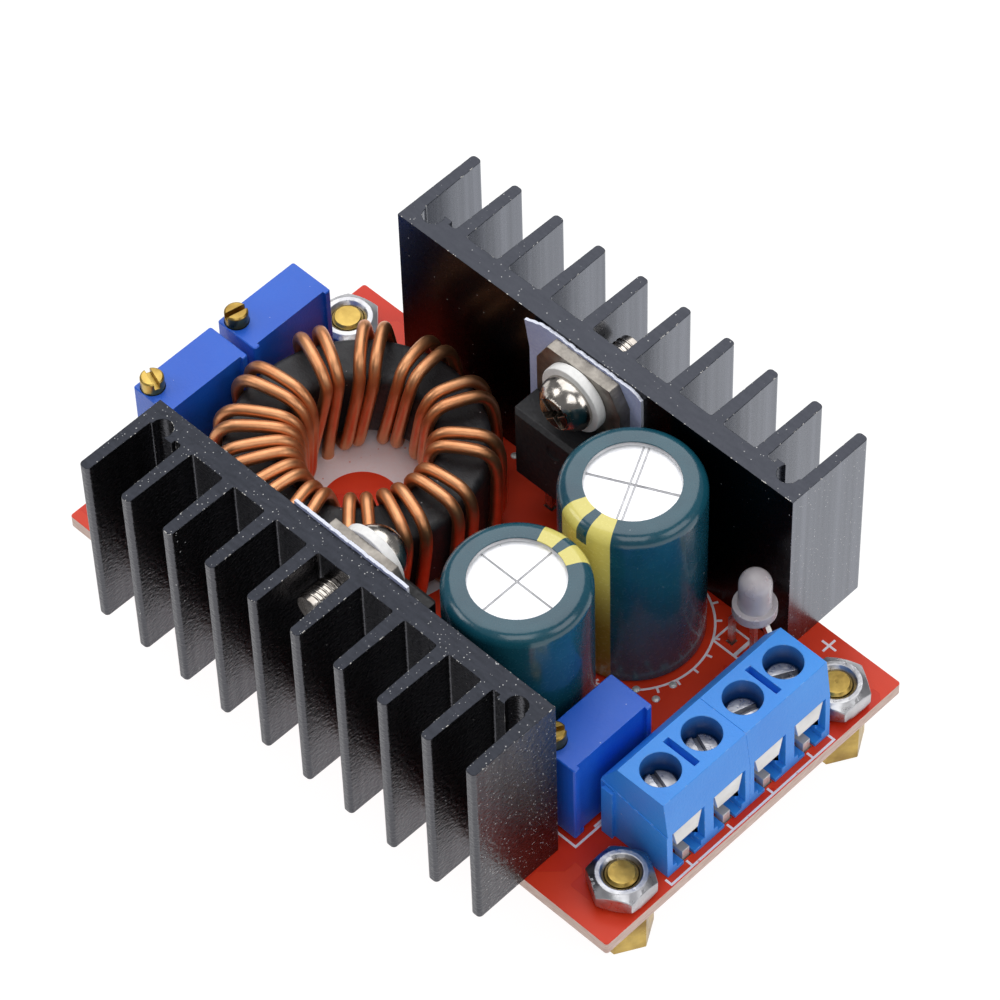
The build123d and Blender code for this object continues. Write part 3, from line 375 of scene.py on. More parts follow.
def makeTubeTree(material):
    # a round wire along a line of points
    inputs = {"Radius": 0.0005, "Step": 0.0004, "Sides": 14}
    tree, given, result = geometryTree("roundWire", inputs)
    curve = put(tree, "GeometryNodeMeshToCurve", {0: given["Geometry"]}).outputs[0]
    sockets = {"Curve": curve, "Length": given["Step"]}
    even = put(tree, "GeometryNodeResampleCurve", sockets, mode="LENGTH").outputs[0]
    sockets = {"Resolution": given["Sides"], "Radius": given["Radius"]}
    circle = put(tree, "GeometryNodeCurvePrimitiveCircle", sockets).outputs[0]
    sockets = {"Curve": even, "Profile Curve": circle, "Fill Caps": True}
    tube = put(tree, "GeometryNodeCurveToMesh", sockets).outputs[0]
    smooth = put(tree, "GeometryNodeSetShadeSmooth", {0: tube}).outputs[0]
    real = put(tree, "GeometryNodeRealizeInstances", {0: smooth}).outputs[0]
    painted = put(tree, "GeometryNodeSetMaterial", {"Geometry": real, "Material": material}).outputs[0]
    tree.links.new(painted, result.inputs[0])
    return tree


# Camera at the photograph's viewing angle

view = {
    "place": (0.18962, -0.18206, 0.36120),
    "right": (0.71677, 0.69702, -0.02027),
    "up": (-0.54325, 0.57639, 0.61045),
    "lens": 180.1,
    "clipStart": 0.02,
    "clipEnd": 5.0,
}


def setCamera():
    data = bpy.data.cameras.new("camera")
    data.lens = view["lens"]
    data.sensor_width = 36.0
    data.clip_start = view["clipStart"]
    data.clip_end = view["clipEnd"]
    camera = addObject("camera", data)
    right = Vector(view["right"]).normalized()
    back = right.cross(Vector(view["up"])).normalized()
    up = back.cross(right)
    turned = Matrix((right, up, back)).transposed().to_4x4()
    turned.translation = view["place"]
    camera.matrix_world = turned
    bpy.context.scene.camera = camera


# Soft studio light and a plain pale floor

studio = {
    "floorReach": 1.2,
    "floorColor": tint(96, 96, 96),
    "floorLight": tint(255, 255, 255),
    "floorGlow": 0.95,
    "skyColor": tint(250, 251, 255),
    "skyStrength": 0.2,
    "lamps": (
        # name, place and aim in metres, width and height in metres, watts
        ("overhead", (-0.22, 0.22, 0.60), (0.0, 0.0, 0.01), 0.8, 0.8, 3.8),
        ("leftWindow", (-0.45, -0.42, 0.50), (0.0, 0.0, 0.01), 0.30, 0.30, 0.9),
        ("rightFill", (0.60, 0.20, 0.40), (0.0, 0.0, 0.01), 0.40, 0.40, 1.0),
        ("frontFill", (0.28, -0.27, 0.54), (0.0, 0.0, 0.01), 0.35, 0.35, 0.8),
    ),
}


def setStudio():
    mesh = bmesh.new()
    reach = studio["floorReach"]
    outline = ((-reach, -reach), (reach, -reach), (reach, reach), (-reach, reach))
    mesh.faces.new([mesh.verts.new((x, y, 0)) for x, y in outline])
    floor = newPiece("floor", mesh)
    material, tree, shader = surface("paleFloor", Base_Color=studio["floorColor"], Roughness=0.8)
    shader.inputs["Emission Color"].default_value = studio["floorLight"]
    shader.inputs["Emission Strength"].default_value = studio["floorGlow"]
    floor.data.materials.append(material)
    world = bpy.data.worlds.new("studio")
    bpy.context.scene.world = world
    world.use_nodes = True
    background = world.node_tree.nodes["Background"]
    background.inputs["Color"].default_value = studio["skyColor"]
    background.inputs["Strength"].default_value = studio["skyStrength"]
    for name, place, aim, width, height, power in studio["lamps"]:
        data = bpy.data.lights.new(name, "AREA")
        data.shape = "RECTANGLE"
        data.size = width
        data.size_y = height
        data.energy = power
        lamp = addObject(name, data)
        lamp.location = place
        lamp.rotation_mode = "QUATERNION"
        lamp.rotation_quaternion = (Vector(aim) - Vector(place)).to_track_quat("-Z", "Y")
    bpy.context.scene.view_settings.view_transform = "Standard"


setCamera()
setStudio()
print("set the camera, the light and the floor")


# Circuit board: red mask over copper areas, beige laminate at the edges

board = {
    "mask": tint(222, 52, 24),
    "maskOverCopper": tint(232, 64, 32),
    "maskDark": tint(204, 36, 16),
    "laminate": tint(222, 200, 190),
    "laminateDark": tint(196, 166, 154),
    "edgeRound": 0.05,
    "skin": 0.04,
    "areaScale": 190.0,
    "bareShare": 0.42,
}
boardLow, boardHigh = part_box("circuit_board")


def boardFinish():
    material, tree, shader = surface("boardMask", Coat_Roughness=0.22, Specular_IOR_Level=0.3)
    place = objectPlace(tree)
    height = split(tree, place)["Z"]
    skin = board["skin"] * mm
    above = reckon(tree, "GREATER_THAN", height, boardHigh.z - skin)
    below = reckon(tree, "LESS_THAN", height, boardLow.z + skin)
    covered = larger(tree, above, below)
    sockets = {"Vector": place, "Scale": board["areaScale"]}
    cells = put(tree, "ShaderNodeTexVoronoi", sockets, distance="MANHATTAN")
    chosen = put(tree, "ShaderNodeSeparateColor", {0: cells.outputs["Color"]}).outputs[0]
    copper = reckon(tree, "GREATER_THAN", chosen, board["bareShare"])
    patchy = effect(tree, "grain", Scale=260.0, High=0.22)
    red = blendColors(tree, copper, board["mask"], board["maskOverCopper"])
    red = blendColors(tree, patchy, red, board["maskDark"])
    layers = effect(tree, "grain", Scale=900.0, Stretch=(1.0, 1.0, 9.0))
    beige = blendColors(tree, layers, board["laminate"], board["laminateDark"])
    color = blendColors(tree, covered, beige, red)
    peel = effect(tree, "grain", Scale=2600.0)
    rough = between(tree, covered, 0.0, 1.0, 0.75, 0.34)
    rough = plus(tree, rough, times(tree, peel, 0.08))
    relief = plus(tree, copper, times(tree, peel, 0.12))
    coat = times(tree, covered, 0.08)
    feed(tree, shader, Base_Color=color, Roughness=rough, Coat_Weight=coat, Normal=bumped(tree, relief, 0.02))
    return material


dress("circuit_board", boardFinish(), edge=board["edgeRound"], segments=1)
print("dressed the board")


# White print on the board

legend = {
    "thickness": 0.02,
    "sink": 0.01,
    "line": 0.22,
    "color": tint(252, 246, 254),
    "worn": tint(238, 190, 186),
    "plus": ((25.9, 17.26), (27.2, -11.3)),
    "dots": ((18.79, 2.72), (16.84, 2.3), (18.85, 4.83), (15.92, 0.6), (-8.83, 13.6)),
    "chokeDisc": 3.7,
    "chokeRing": 11.9,
    "capRing": 7.15,
    "ringSteps": 72,
    "frontGap": 0.7,        # from the terminals' front to the line along it
    "tickShift": 0.3,
    "tickLength": 0.65,
    "endLength": 0.6,
    "endInset": (0.1, 0.2),
    "capTicks": (-75, 90, 15),
    "capTickLength": 0.5,
    "tickClear": 1.0,       # from the last tick round a capacitor to the terminals
    "plusHalf": 0.7,
    "backGap": 0.3,         # from the terminals' back to the dashes along it
    "dashes": 9,
    "dashPitch": 2.3,
    "dashLength": 1.5,
    "lampPitch": 2.54,
    "lampHalf": (1.2, 1.1),
    "trimmerGap": 0.35,
    "trimmerBack": 0.12,
    "boardInset": 0.3,
    "lift": 0.0012,
    "viaRadius": 0.38,
    "viaFlat": 0.35,
}
chokeLow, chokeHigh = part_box("toroid_core")
choke = ((chokeLow + chokeHigh) / 2) / mm
caps = [sum(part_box(f"capacitor_{number}_can"), Vector()) / 2 / mm for number in (1, 2)]
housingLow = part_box("terminal_housing_1")[0] / mm
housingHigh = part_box("terminal_housing_2")[1] / mm
ways = [sum(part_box(f"terminal_screw_{way}"), Vector()) / 2 / mm for way in range(1, 5)]
lamp = sum(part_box("lamp_lens"), Vector()) / 2 / mm
boardTop = boardHigh.z / mm
boardBottom = boardLow.z / mm


def printFinish():
    material, tree, shader = surface("boardPrint", Roughness=0.55)
    worn = effect(tree, "grain", Scale=3200.0, Detail=6.0, High=0.14)
    pinholes = effect(tree, "specks", Scale=2400.0, Size=0.3, Share=0.08)
    share = larger(tree, worn, pinholes)
    color = blendColors(tree, share, legend["color"], legend["worn"])
    feed(tree, shader, Base_Color=color)
    return material


def slab(mesh, outline, low, high):
    # a thin prism on an outline of x and y points, counter-clockwise
    bottom = [mesh.verts.new((x * mm, y * mm, low * mm)) for x, y in outline]
    top = [mesh.verts.new((x * mm, y * mm, high * mm)) for x, y in outline]
    mesh.faces.new(top)
    mesh.faces.new(bottom[::-1])
    count = len(outline)
    for index in range(count):
        after = (index + 1) % count
        mesh.faces.new((bottom[index], bottom[after], top[after], top[index]))


def stroke(mesh, start, end, width, low, high):
    # each bar ends a hair higher than the last, so that crossing bars share no face
    high += legend["lift"] * (len(mesh.verts) // 8 % 11)
    start, end = Vector(start), Vector(end)
    along = (end - start).normalized() * width / 2
    across = Vector((-along.y, along.x))
    corners = [start - along - across, end + along - across, end + along + across, start - along + across]
    slab(mesh, [(corner.x, corner.y) for corner in corners], low, high)


def ringBand(mesh, centre, inner, outer, low, high):
    # a flat ring as one closed strip
    rows = []
    for step in range(legend["ringSteps"]):
        angle = 2 * pi * step / legend["ringSteps"]
        corners = []
        for radius, height in ((inner, low), (outer, low), (outer, high), (inner, high)):
            place = Vector((centre[0] + cos(angle) * radius, centre[1] + sin(angle) * radius, height))
            corners.append(mesh.verts.new(place * mm))
        rows.append(corners)
    for one, two in zip(rows, rows[1:] + rows[:1]):
        for corner in range(4):
            after = (corner + 1) % 4
            mesh.faces.new((one[corner], two[corner], two[after], one[after]))


# bar draws a straight line of print and band a ring, both handed over by makePrint

def printCapacitors(bar, band):
    ring = legend["capRing"]
    for centre in caps:
        band(centre, ring, ring + legend["line"])
        for angle in range(*legend["capTicks"]):
            ray = Vector((cos(radians(angle)), sin(radians(angle))))
            start = Vector(centre.xy) + ray * (ring + legend["line"] / 2)
            if start.x < housingLow.x - legend["tickClear"]:
                bar(start, start + ray * legend["capTickLength"])


def printTerminals(bar):
    front = housingHigh.x + legend["frontGap"]
    ends = (housingLow.y + legend["endInset"][0], housingHigh.y - legend["endInset"][1])
    bar((front, ends[0]), (front, ends[1]))
    for end in ends:
        bar((front - legend["endLength"], end), (front, end))
    for way in ways:
        tick = way.y - legend["tickShift"]
        bar((front - legend["tickLength"], tick), (front, tick))
    half = legend["plusHalf"]
    for x, y in legend["plus"]:
        bar((x - half, y), (x + half, y))
        bar((x, y - half), (x, y + half))
    back = housingLow.x - legend["backGap"]
    for index in range(legend["dashes"]):
        start = housingLow.y + index * legend["dashPitch"]
        bar((back, start), (back, start + legend["dashLength"]))


def printLamp(bar):
    # a square round each lead of the lamp
    wide, deep = legend["lampHalf"]
    for step in (-1, 0, 1):
        x, y = lamp.x + step * legend["lampPitch"], lamp.y
        for side in (-1, 1):
            bar((x - wide, y + side * deep), (x + wide, y + side * deep))
            bar((x + side * wide, y - deep), (x + side * wide, y + deep))


def printTrimmers(bar):
    gap = legend["trimmerGap"]
    for letter in "abc":
        lowCorner, highCorner = [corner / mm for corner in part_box(f"trimmer_{letter}_body")]
        left, right = lowCorner.x - legend["trimmerBack"], highCorner.x + gap
        near, far = lowCorner.y - gap, highCorner.y + gap
        left = max(left, boardLow.x / mm + legend["boardInset"])
        corners = ((left, near), (right, near), (right, far), (left, far))
        for start, end in zip(corners, corners[1:]):
            bar(start, end)


def makePrint():
    mesh = bmesh.new()
    low, high = boardTop - legend["sink"], boardTop + legend["thickness"]

    def bar(start, end):
        stroke(mesh, start, end, legend["line"], low, high)

    def band(centre, inner, outer):
        ringBand(mesh, centre, inner, outer, low, high)

    band(choke, legend["chokeDisc"], legend["chokeRing"])
    printCapacitors(bar, band)
    printTerminals(bar)
    printLamp(bar)
    printTrimmers(bar)
    piece = newPiece("boardPrint", mesh)
    piece.data.materials.append(printFinish())
    return seat(piece, "root", "board_mask")


makePrint()


def makeVias(material):
    # low round domes of solder on the board
    mesh = bmesh.new()
    radius = legend["viaRadius"] * mm
    flat = Matrix.Diagonal((1.0, 1.0, legend["viaFlat"], 1.0))
    for x, y in legend["dots"]:
        place = Matrix.Translation((x * mm, y * mm, boardTop * mm))
        bmesh.ops.create_uvsphere(mesh, u_segments=20, v_segments=10, radius=radius, matrix=place @ flat)
    smoothAll(mesh)
    piece = newPiece("boardVias", mesh)
    piece.data.materials.append(material)
    return seat(piece, "root", "tinned_lead")


print("printed the legend")


# Heatsinks: dark extrusion, sawn top and bottom, bright chips along the edges, painted shade on the inner
# faces and on the near sink

sink = {
    "edgeRound": 0.07,
    "skin": 0.03,
    # painted shade: the colour of the inner faces, which face the board's middle
    "inner": tint(30, 30, 34),
    # painted shade: both sinks are one metal, and the near sink's walls and sawn faces are painted darker
    # than the far sink's
    "looks": {
        "near": {
            "dusty": 1.0, "rough": 2.4, "wall": tint(88, 88, 92), "wallDark": tint(74, 74, 79),
            "sawn": tint(58, 60, 67), "sawnDark": tint(50, 52, 58),
        },
        "far": {
            "dusty": 0.2, "rough": 0.1, "wall": tint(124, 127, 136), "wallDark": tint(108, 111, 119),
            "sawn": tint(72, 74, 81), "sawnDark": tint(67, 69, 76),
        },
    },
    "chip": tint(190, 188, 184),
    "dust": tint(206, 206, 206),
}
sinkLow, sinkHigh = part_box("heatsink_near")


def sinkFinish(name, shadedLook):
    material, tree, shader = surface(f"sinkMetalWithShade.{name}")
    dusty = shadedLook["dusty"]
    parts = split(tree, objectPlace(tree))
    skin = sink["skin"] * mm
    sawn = larger(tree, reckon(tree, "GREATER_THAN", parts["Z"], sinkHigh.z - skin),
                  reckon(tree, "LESS_THAN", parts["Z"], sinkLow.z + skin))
    # painted shade: the inner faces, at the plane nearest the board's middle, are painted near-black
    inner = reckon(tree, "LESS_THAN", reckon(tree, "ABSOLUTE", parts["Y"]), -sinkHigh.y + skin)
    streaks = effect(tree, "grain", Scale=1500.0, Stretch=(1.0, 1.0, 0.012), Detail=5.0)
    wall = blendColors(tree, streaks, shadedLook["wallDark"], shadedLook["wall"])
    wall = blendColors(tree, inner, wall, sink["inner"])
    sawMarks = effect(tree, "grain", Scale=2600.0, Stretch=(0.25, 1.0, 1.0), Detail=4.0)
    cut = blendColors(tree, sawMarks, shadedLook["sawnDark"], shadedLook["sawn"])
    color = blendColors(tree, sawn, wall, cut)
    chips = effect(tree, "edgeWear", Scale=2900.0, Amount=0.38)
    color = blendColors(tree, chips, color, sink["chip"])
    fineDust = effect(tree, "specks", Scale=4000.0, Size=0.26, Share=0.05 + 0.3 * dusty)
    end = reckon(tree, "GREATER_THAN", parts["X"], sinkHigh.x - skin)
    topDust = times(tree, fineDust, larger(tree, sawn, end))
    wallDust = effect(tree, "specks", Scale=1300.0, Size=0.1, Share=0.12 + 0.1 * dusty)
    dust = times(tree, larger(tree, topDust, wallDust), 0.85)
    color = blendColors(tree, dust, color, sink["dust"])
    fine = effect(tree, "grain", Scale=5200.0, Detail=3.0)
    hammered = effect(tree, "grain", Scale=2400.0, Stretch=(1.0, 1.0, 1.6), Detail=2.0)
    rough = between(tree, sawn, 0.0, 1.0, 0.26, 0.42)
    rough = plus(tree, rough, times(tree, fine, 0.06))
    rough = plus(tree, rough, times(tree, dust, 0.4))
    metal = between(tree, dust, 0.0, 1.0, 1.0, 0.0)
    sawnRelief = times(tree, sawMarks, times(tree, sawn, 0.3))
    relief = plus(tree, times(tree, streaks, 0.15), times(tree, fine, 0.1))
    relief = plus(tree, relief, sawnRelief)
    relief = plus(tree, relief, times(tree, hammered, shadedLook["rough"]))
    relief = minus(tree, relief, times(tree, chips, 1.5))
    feed(tree, shader, Base_Color=color, Roughness=rough, Metallic=metal, Normal=bumped(tree, relief, 0.012))
    return material


for name, shadedLook in sink["looks"].items():
    dress(f"heatsink_{name}", sinkFinish(name, shadedLook), edge=sink["edgeRound"])
print("dressed the heatsinks")


# Choke: coated core and two bare-looking enamelled wires wound together

winding = {
    "wireRadius": 0.58,
    "gap": 0.06,
    "innerRadius": 6.45,
    "slack": 1.5,      # how far the loosest loops stand into the hole, and where
    "slackAngle": 207.0,
    "outerRadius": 12.7,
    "power": 5.2,       # how square the loop is
    "bow": 1.0,        # how far the wire springs up over the core, and how much more at the back
    "backLift": 0.9,
    "backAngle": 130.0,
    "splitInner": 5.7,
    "splitOuter": 4.3,
    "outerLean": 5.0,
    "innerLean": 16.0,
    "endQuarter": 1.6,      # where the last turn leaves the loop, in quarters of it
    "turns": (189.5, 216.0, 238.5, 262.0, 287.0, 316.5, 340.0, 364.5, 395.7, 426.5, 456.5, 487.0, 515.7),
    "samples": 96,
    "step": 0.3,
    "sides": 16,
    "footSteps": 5,
    "leadSteps": 12,
    "smoothing": 3,
    "color": tint(228, 166, 120),
    "dark": tint(196, 122, 76),
    "coreColor": tint(26, 26, 29),
}


def wireFinish():
    material, tree, shader = surface("copperWire", Metallic=1.0, Coat_Weight=0.1, Coat_Roughness=0.3)
    cloudy = effect(tree, "grain", Scale=420.0, Detail=3.0, High=0.5)
    fine = effect(tree, "grain", Scale=3800.0, Detail=3.0)
    color = blendColors(tree, cloudy, winding["color"], winding["dark"])
    rough = between(tree, fine, 0.0, 1.0, 0.38, 0.48)
    feed(tree, shader, Base_Color=color, Roughness=rough, Normal=bumped(tree, fine, 0.003))
    return material


def coreFinish():
    material, tree, shader = surface("coreCoating")
    pits = effect(tree, "grain", Scale=1700.0, Detail=6.0)
    fine = effect(tree, "grain", Scale=6500.0, Detail=3.0)
    dust = effect(tree, "specks", Scale=1500.0, Size=0.12, Share=0.12)
    color = blendColors(tree, pits, winding["coreColor"], tint(38, 38, 42))
    color = blendColors(tree, dust, color, tint(170, 170, 172))
    rough = between(tree, pits, 0.0, 1.0, 0.42, 0.58)
    relief = plus(tree, pits, times(tree, fine, 0.4))
    feed(tree, shader, Base_Color=color, Roughness=rough, Normal=bumped(tree, relief, 0.03))
    return material


def wirePath(side, startSplay):
    # points of one wire's middle line: up through the board, round the core thirteen times, down again
    halfWidth = (winding["outerRadius"] - winding["innerRadius"]) / 2
    middle = (winding["outerRadius"] + winding["innerRadius"]) / 2
    clearance = winding["wireRadius"] + winding["gap"]
    halfHeight = (chokeHigh.z - chokeLow.z) / mm / 2 + clearance
    turns = winding["turns"]
    inward, outward = side * winding["splitInner"], side * winding["splitOuter"]

    def onRing(radius, angle, height):
        ray = radians(angle)
        return Vector((choke.x + radius * cos(ray), choke.y + radius * sin(ray), height))

    points = []
    for index in reversed(range(len(turns))):
        last = index == 0
        turn, lower = turns[index], turns[max(index - 1, 0)]
        corners = (turn + inward, turn + outward, turn + outward - winding["outerLean"],
                   lower + inward + winding["innerLean"], lower + inward)
        for sample in range(winding["samples"]):
            quarter = 4 * sample / winding["samples"]
            if last and quarter > winding["endQuarter"]:
                break
            theta = radians(135 - 90 * quarter)
            across = copysign(abs(cos(theta)) ** (2 / winding["power"]), cos(theta))
            upward = copysign(abs(sin(theta)) ** (2 / winding["power"]), sin(theta))
            corner = 0.5 ** (1 / winding["power"])
            leg = int(quarter)
            run = (across, -upward, -across, upward)[leg]
            share = min(max((run / corner + 1) / 2, 0), 1)
            angle = corners[leg] + (corners[leg + 1] - corners[leg]) * share
            behind = max(cos(radians(angle - winding["backAngle"])), 0)
            bow = winding["bow"] * (1 + winding["backLift"] * behind)
            rise = bow * (1 - abs(across) ** 3) if upward > 0 else 0.0
            aside = max(cos(radians(angle - winding["slackAngle"])), 0)
            radius = middle + halfWidth * across - winding["slack"] * aside * (1 - across) / 2
            points.append(onRing(radius, angle, choke.z + halfHeight * upward + rise))
    firstAngle = turns[-1] + inward + winding["innerLean"] + startSplay
    foot = onRing(winding["innerRadius"], firstAngle, boardBottom)
    knee = onRing(winding["innerRadius"], firstAngle, choke.z - halfHeight)
    tail = onRing(winding["outerRadius"], turns[0] + outward, boardBottom)
    count = winding["leadSteps"]
    straight = [foot.lerp(knee, step / winding["footSteps"]) for step in range(winding["footSteps"] + 1)]
    rising = [knee.lerp(points[0], step / count) for step in range(1, count)]
    falling = [points[-1].lerp(tail, step / count) for step in range(1, count + 1)]
    points = straight + rising + points + falling
    for turn in range(winding["smoothing"]):
        inner = zip(points, points[1:], points[2:])
        points = [points[0]] + [(one + two * 2 + three) / 4 for one, two, three in inner] + [points[-1]]
    return points


copper = wireFinish()
tubeTree = makeTubeTree(copper)
for name, side, splay in (("a", -1, -3.0), ("b", 1, 3.5)):
    line = wirePath(side, splay)
    wire = grow(f"chokeWire.{name}", line, tubeTree, winding["wireRadius"], winding["step"], winding["sides"])
    seat(wire, "root", "copper_wire", f"toroid_winding_{name}")
dress("toroid_core", coreFinish())
print("wound the choke")


# Capacitors: dark film with a pale stripe, bright dished can with its vent grooves

canDress = {
    "film": tint(24, 84, 100),
    "filmDark": tint(14, 66, 84),
    "stripe": tint(226, 214, 116),
    "stripeShaded": tint(150, 122, 50),
    "stripeHalf": 25.0,
    "stripeShadeFade": (-3.0, 4.0),
    "stripeAngles": (86.0, 271.0),
    "dashHeight": 2.4,
    "dashHalf": 5.0,
    "dashStart": 0.35,
    "dashShare": 0.62,
    "metal": tint(252, 252, 255),
    "grooveShade": tint(120, 120, 126),
    "dishDepth": 0.35,
    "discRadius": 4.35,
    "discNear": 0.2,
    "discFlat": 0.01,
    "grooveDepth": 0.2,
    "grooveSoft": 0.4,
    # turn in degrees, shift to its left, half width and strength of the painted shade of each groove in the
    # two discs
    "grooves": (
        ((0.0, 0.0, 0.07, 0.75), (90.0, 0.0, 0.07, 0.75)),
        ((26.5, 0.0, 0.09, 0.85), (116.5, 0.24, 0.06, 0.5), (116.5, -0.24, 0.06, 0.5)),
    ),
    "grooveReach": 4.2,
    "rim": (4.25, 4.45),
    "rimShade": 0.45,
    "lipFound": (4.5, 4.7),
    "lipRadius": 4.28,
}


def filmFinish(number):
    material, tree, shader = surface(f"sleeveFilm{number}", Coat_Weight=0.4, Coat_Roughness=0.1)
    parts = placeFrom(tree, caps[number - 1] * mm)
    heading = radians(canDress["stripeAngles"][number - 1])
    ahead = plus(tree, times(tree, parts["X"], cos(heading)), times(tree, parts["Y"], sin(heading)))
    aside = leftOf(tree, parts, heading)
    turn = reckon(tree, "ABSOLUTE", reckon(tree, "ARCTAN2", aside, ahead))
    stripe = reckon(tree, "LESS_THAN", turn, radians(canDress["stripeHalf"]))
    # a dark dash along the middle of the stripe, again and again down the side
    rows = reckon(tree, "DIVIDE", parts["Z"], 2 * canDress["dashHeight"] * mm)
    dashes = reckon(tree, "FRACT", plus(tree, rows, canDress["dashStart"]))
    dash = reckon(tree, "LESS_THAN", dashes, canDress["dashShare"])
    dash = times(tree, dash, reckon(tree, "LESS_THAN", turn, radians(canDress["dashHalf"])))
    stripe = minus(tree, stripe, times(tree, stripe, dash))
    cloudy = effect(tree, "grain", Scale=220.0, Detail=4.0)
    base = blendColors(tree, cloudy, canDress["filmDark"], canDress["film"])
    # painted shade: the stripe is painted darker from 4 mm above the can's middle to 3 mm below it, down the
    # side
    fadeLow, fadeHigh = canDress["stripeShadeFade"]
    lower = between(tree, parts["Z"], fadeLow * mm, fadeHigh * mm, 1.0, 0.0)
    pale = blendColors(tree, lower, canDress["stripe"], canDress["stripeShaded"])
    color = blendColors(tree, stripe, base, pale)
    dust = effect(tree, "specks", Scale=800.0, Size=0.07, Share=0.2)
    color = blendColors(tree, dust, color, tint(190, 200, 205))
    wrinkles = effect(tree, "grain", Scale=260.0, Stretch=(1.0, 1.0, 0.25), Detail=3.0)
    fine = effect(tree, "grain", Scale=3000.0, Detail=3.0)
    rough = between(tree, fine, 0.0, 1.0, 0.2, 0.3)
    relief = plus(tree, wrinkles, times(tree, fine, 0.05))
    feed(tree, shader, Base_Color=color, Roughness=rough, Normal=bumped(tree, relief, 0.05))
    return material


def canFinish(number):
    material, tree, shader = surface(f"canMetal{number}", Metallic=0.5)
    parts = placeFrom(tree, caps[number - 1] * mm)
    lines = 0.0
    soft = canDress["grooveSoft"]
    for turn, shift, half, shadeStrength in canDress["grooves"][number - 1]:
        aside = leftOf(tree, parts, radians(turn))
        distance = reckon(tree, "ABSOLUTE", minus(tree, aside, shift * mm))
        line = between(tree, distance, half * (1 - soft) * mm, half * (1 + soft) * mm, shadeStrength, 0.0)
        lines = larger(tree, line, lines)
    flat = radial(tree, parts["X"], parts["Y"])
    inside = reckon(tree, "LESS_THAN", flat, canDress["grooveReach"] * mm)
    lines = times(tree, lines, inside)
    rimStart, rimEnd = canDress["rim"]
    rim = between(tree, flat, rimStart * mm, rimEnd * mm, 0.0, canDress["rimShade"])
    fine = effect(tree, "grain", Scale=2600.0, Detail=5.0)
    marks = effect(tree, "specks", Scale=1500.0, Size=0.12, Share=0.12)
    color = blendColors(tree, times(tree, fine, 0.25), canDress["metal"], tint(226, 227, 230))
    color = blendColors(tree, marks, color, tint(170, 170, 172))
    broken = effect(tree, "grain", Scale=900.0, Detail=4.0, Low=0.55, High=1.0)
    # painted shade: the grooves and a ring at the disc's edge are painted darker
    color = blendColors(tree, times(tree, lines, broken), color, canDress["grooveShade"])
    color = blendColors(tree, rim, color, canDress["grooveShade"])
    rough = between(tree, fine, 0.0, 1.0, 0.42, 0.55)
    relief = minus(tree, times(tree, fine, 0.04), lines)
    normal = bumped(tree, relief, canDress["grooveDepth"])
    feed(tree, shader, Base_Color=color, Roughness=rough, Normal=normal)
    return material


def closeDisc(number):
    # takes the cut grooves out of the disc and closes it again
    def change(mesh):
        centre = caps[number - 1] * mm
        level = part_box(f"capacitor_{number}_can")[1].z - canDress["dishDepth"] * mm
        loose = []
        for face in mesh.faces:
            middle = face.calc_center_median()
            near = abs(middle.z - level) < canDress["discNear"] * mm
            if near and (middle - centre).xy.length < canDress["discRadius"] * mm:
                top = max(corner.co.z for corner in face.verts)
                if top < level + canDress["discFlat"] * mm:
                    loose.append(face)
        bmesh.ops.delete(mesh, geom=loose, context="FACES")
        rim = [edge for edge in mesh.edges if edge.is_boundary]
        bmesh.ops.contextual_create(mesh, geom=rim)
        bmesh.ops.recalc_face_normals(mesh, faces=mesh.faces)
        smoothAll(mesh)
    return change


def drawLip(number):
    # draws the film's lip further in, to the edge of the disc
    def change(mesh):
        centre = caps[number - 1] * mm
        low, high = canDress["lipFound"]
        for corner in mesh.verts:
            ray = (corner.co - centre).xy
            if low * mm < ray.length < high * mm:
                ray = ray.normalized() * canDress["lipRadius"] * mm
                corner.co.x, corner.co.y = centre.x + ray.x, centre.y + ray.y
    return change


for number in (1, 2):
    dress(f"capacitor_{number}_can", canFinish(number), edge=0.04, change=closeDisc(number))
    dress(f"capacitor_{number}_sleeve", filmFinish(number), edge=0.04, change=drawLip(number))
print("dressed the capacitors")


# Blue mouldings

plastic = {
    "terminal": tint(54, 148, 240),
    "terminalDark": tint(42, 130, 228),
    "wellShade": tint(6, 34, 92),
    "wellEdge": (1.84, 1.9),
    "wellDepths": (1.6, 0.15),
    "wayPitch": 5.08,
    "seamReach": 0.12,
    "trimmer": tint(26, 98, 214),
    "trimmerDark": tint(18, 82, 198),
}


def wellShadeMask(tree):
    # painted shade on the walls of the screw wells, below the top of the housings, stronger further down
    parts = split(tree, objectPlace(tree))
    rows = minus(tree, parts["Y"], (ways[0].y - plastic["wayPitch"] / 2) * mm)
    turned = reckon(tree, "FRACT", reckon(tree, "DIVIDE", rows, plastic["wayPitch"] * mm))
    across = times(tree, minus(tree, turned, 0.5), plastic["wayPitch"] * mm)
    along = minus(tree, parts["X"], ways[0].x * mm)
    start, end = plastic["wellEdge"]
    inside = between(tree, radial(tree, across, along), start * mm, end * mm, 1.0, 0.0)
    deep, shallow = [(housingHigh.z - depth) * mm for depth in plastic["wellDepths"]]
    depth = between(tree, parts["Z"], deep, shallow, 1.0, 0.25)
    return times(tree, inside, depth)


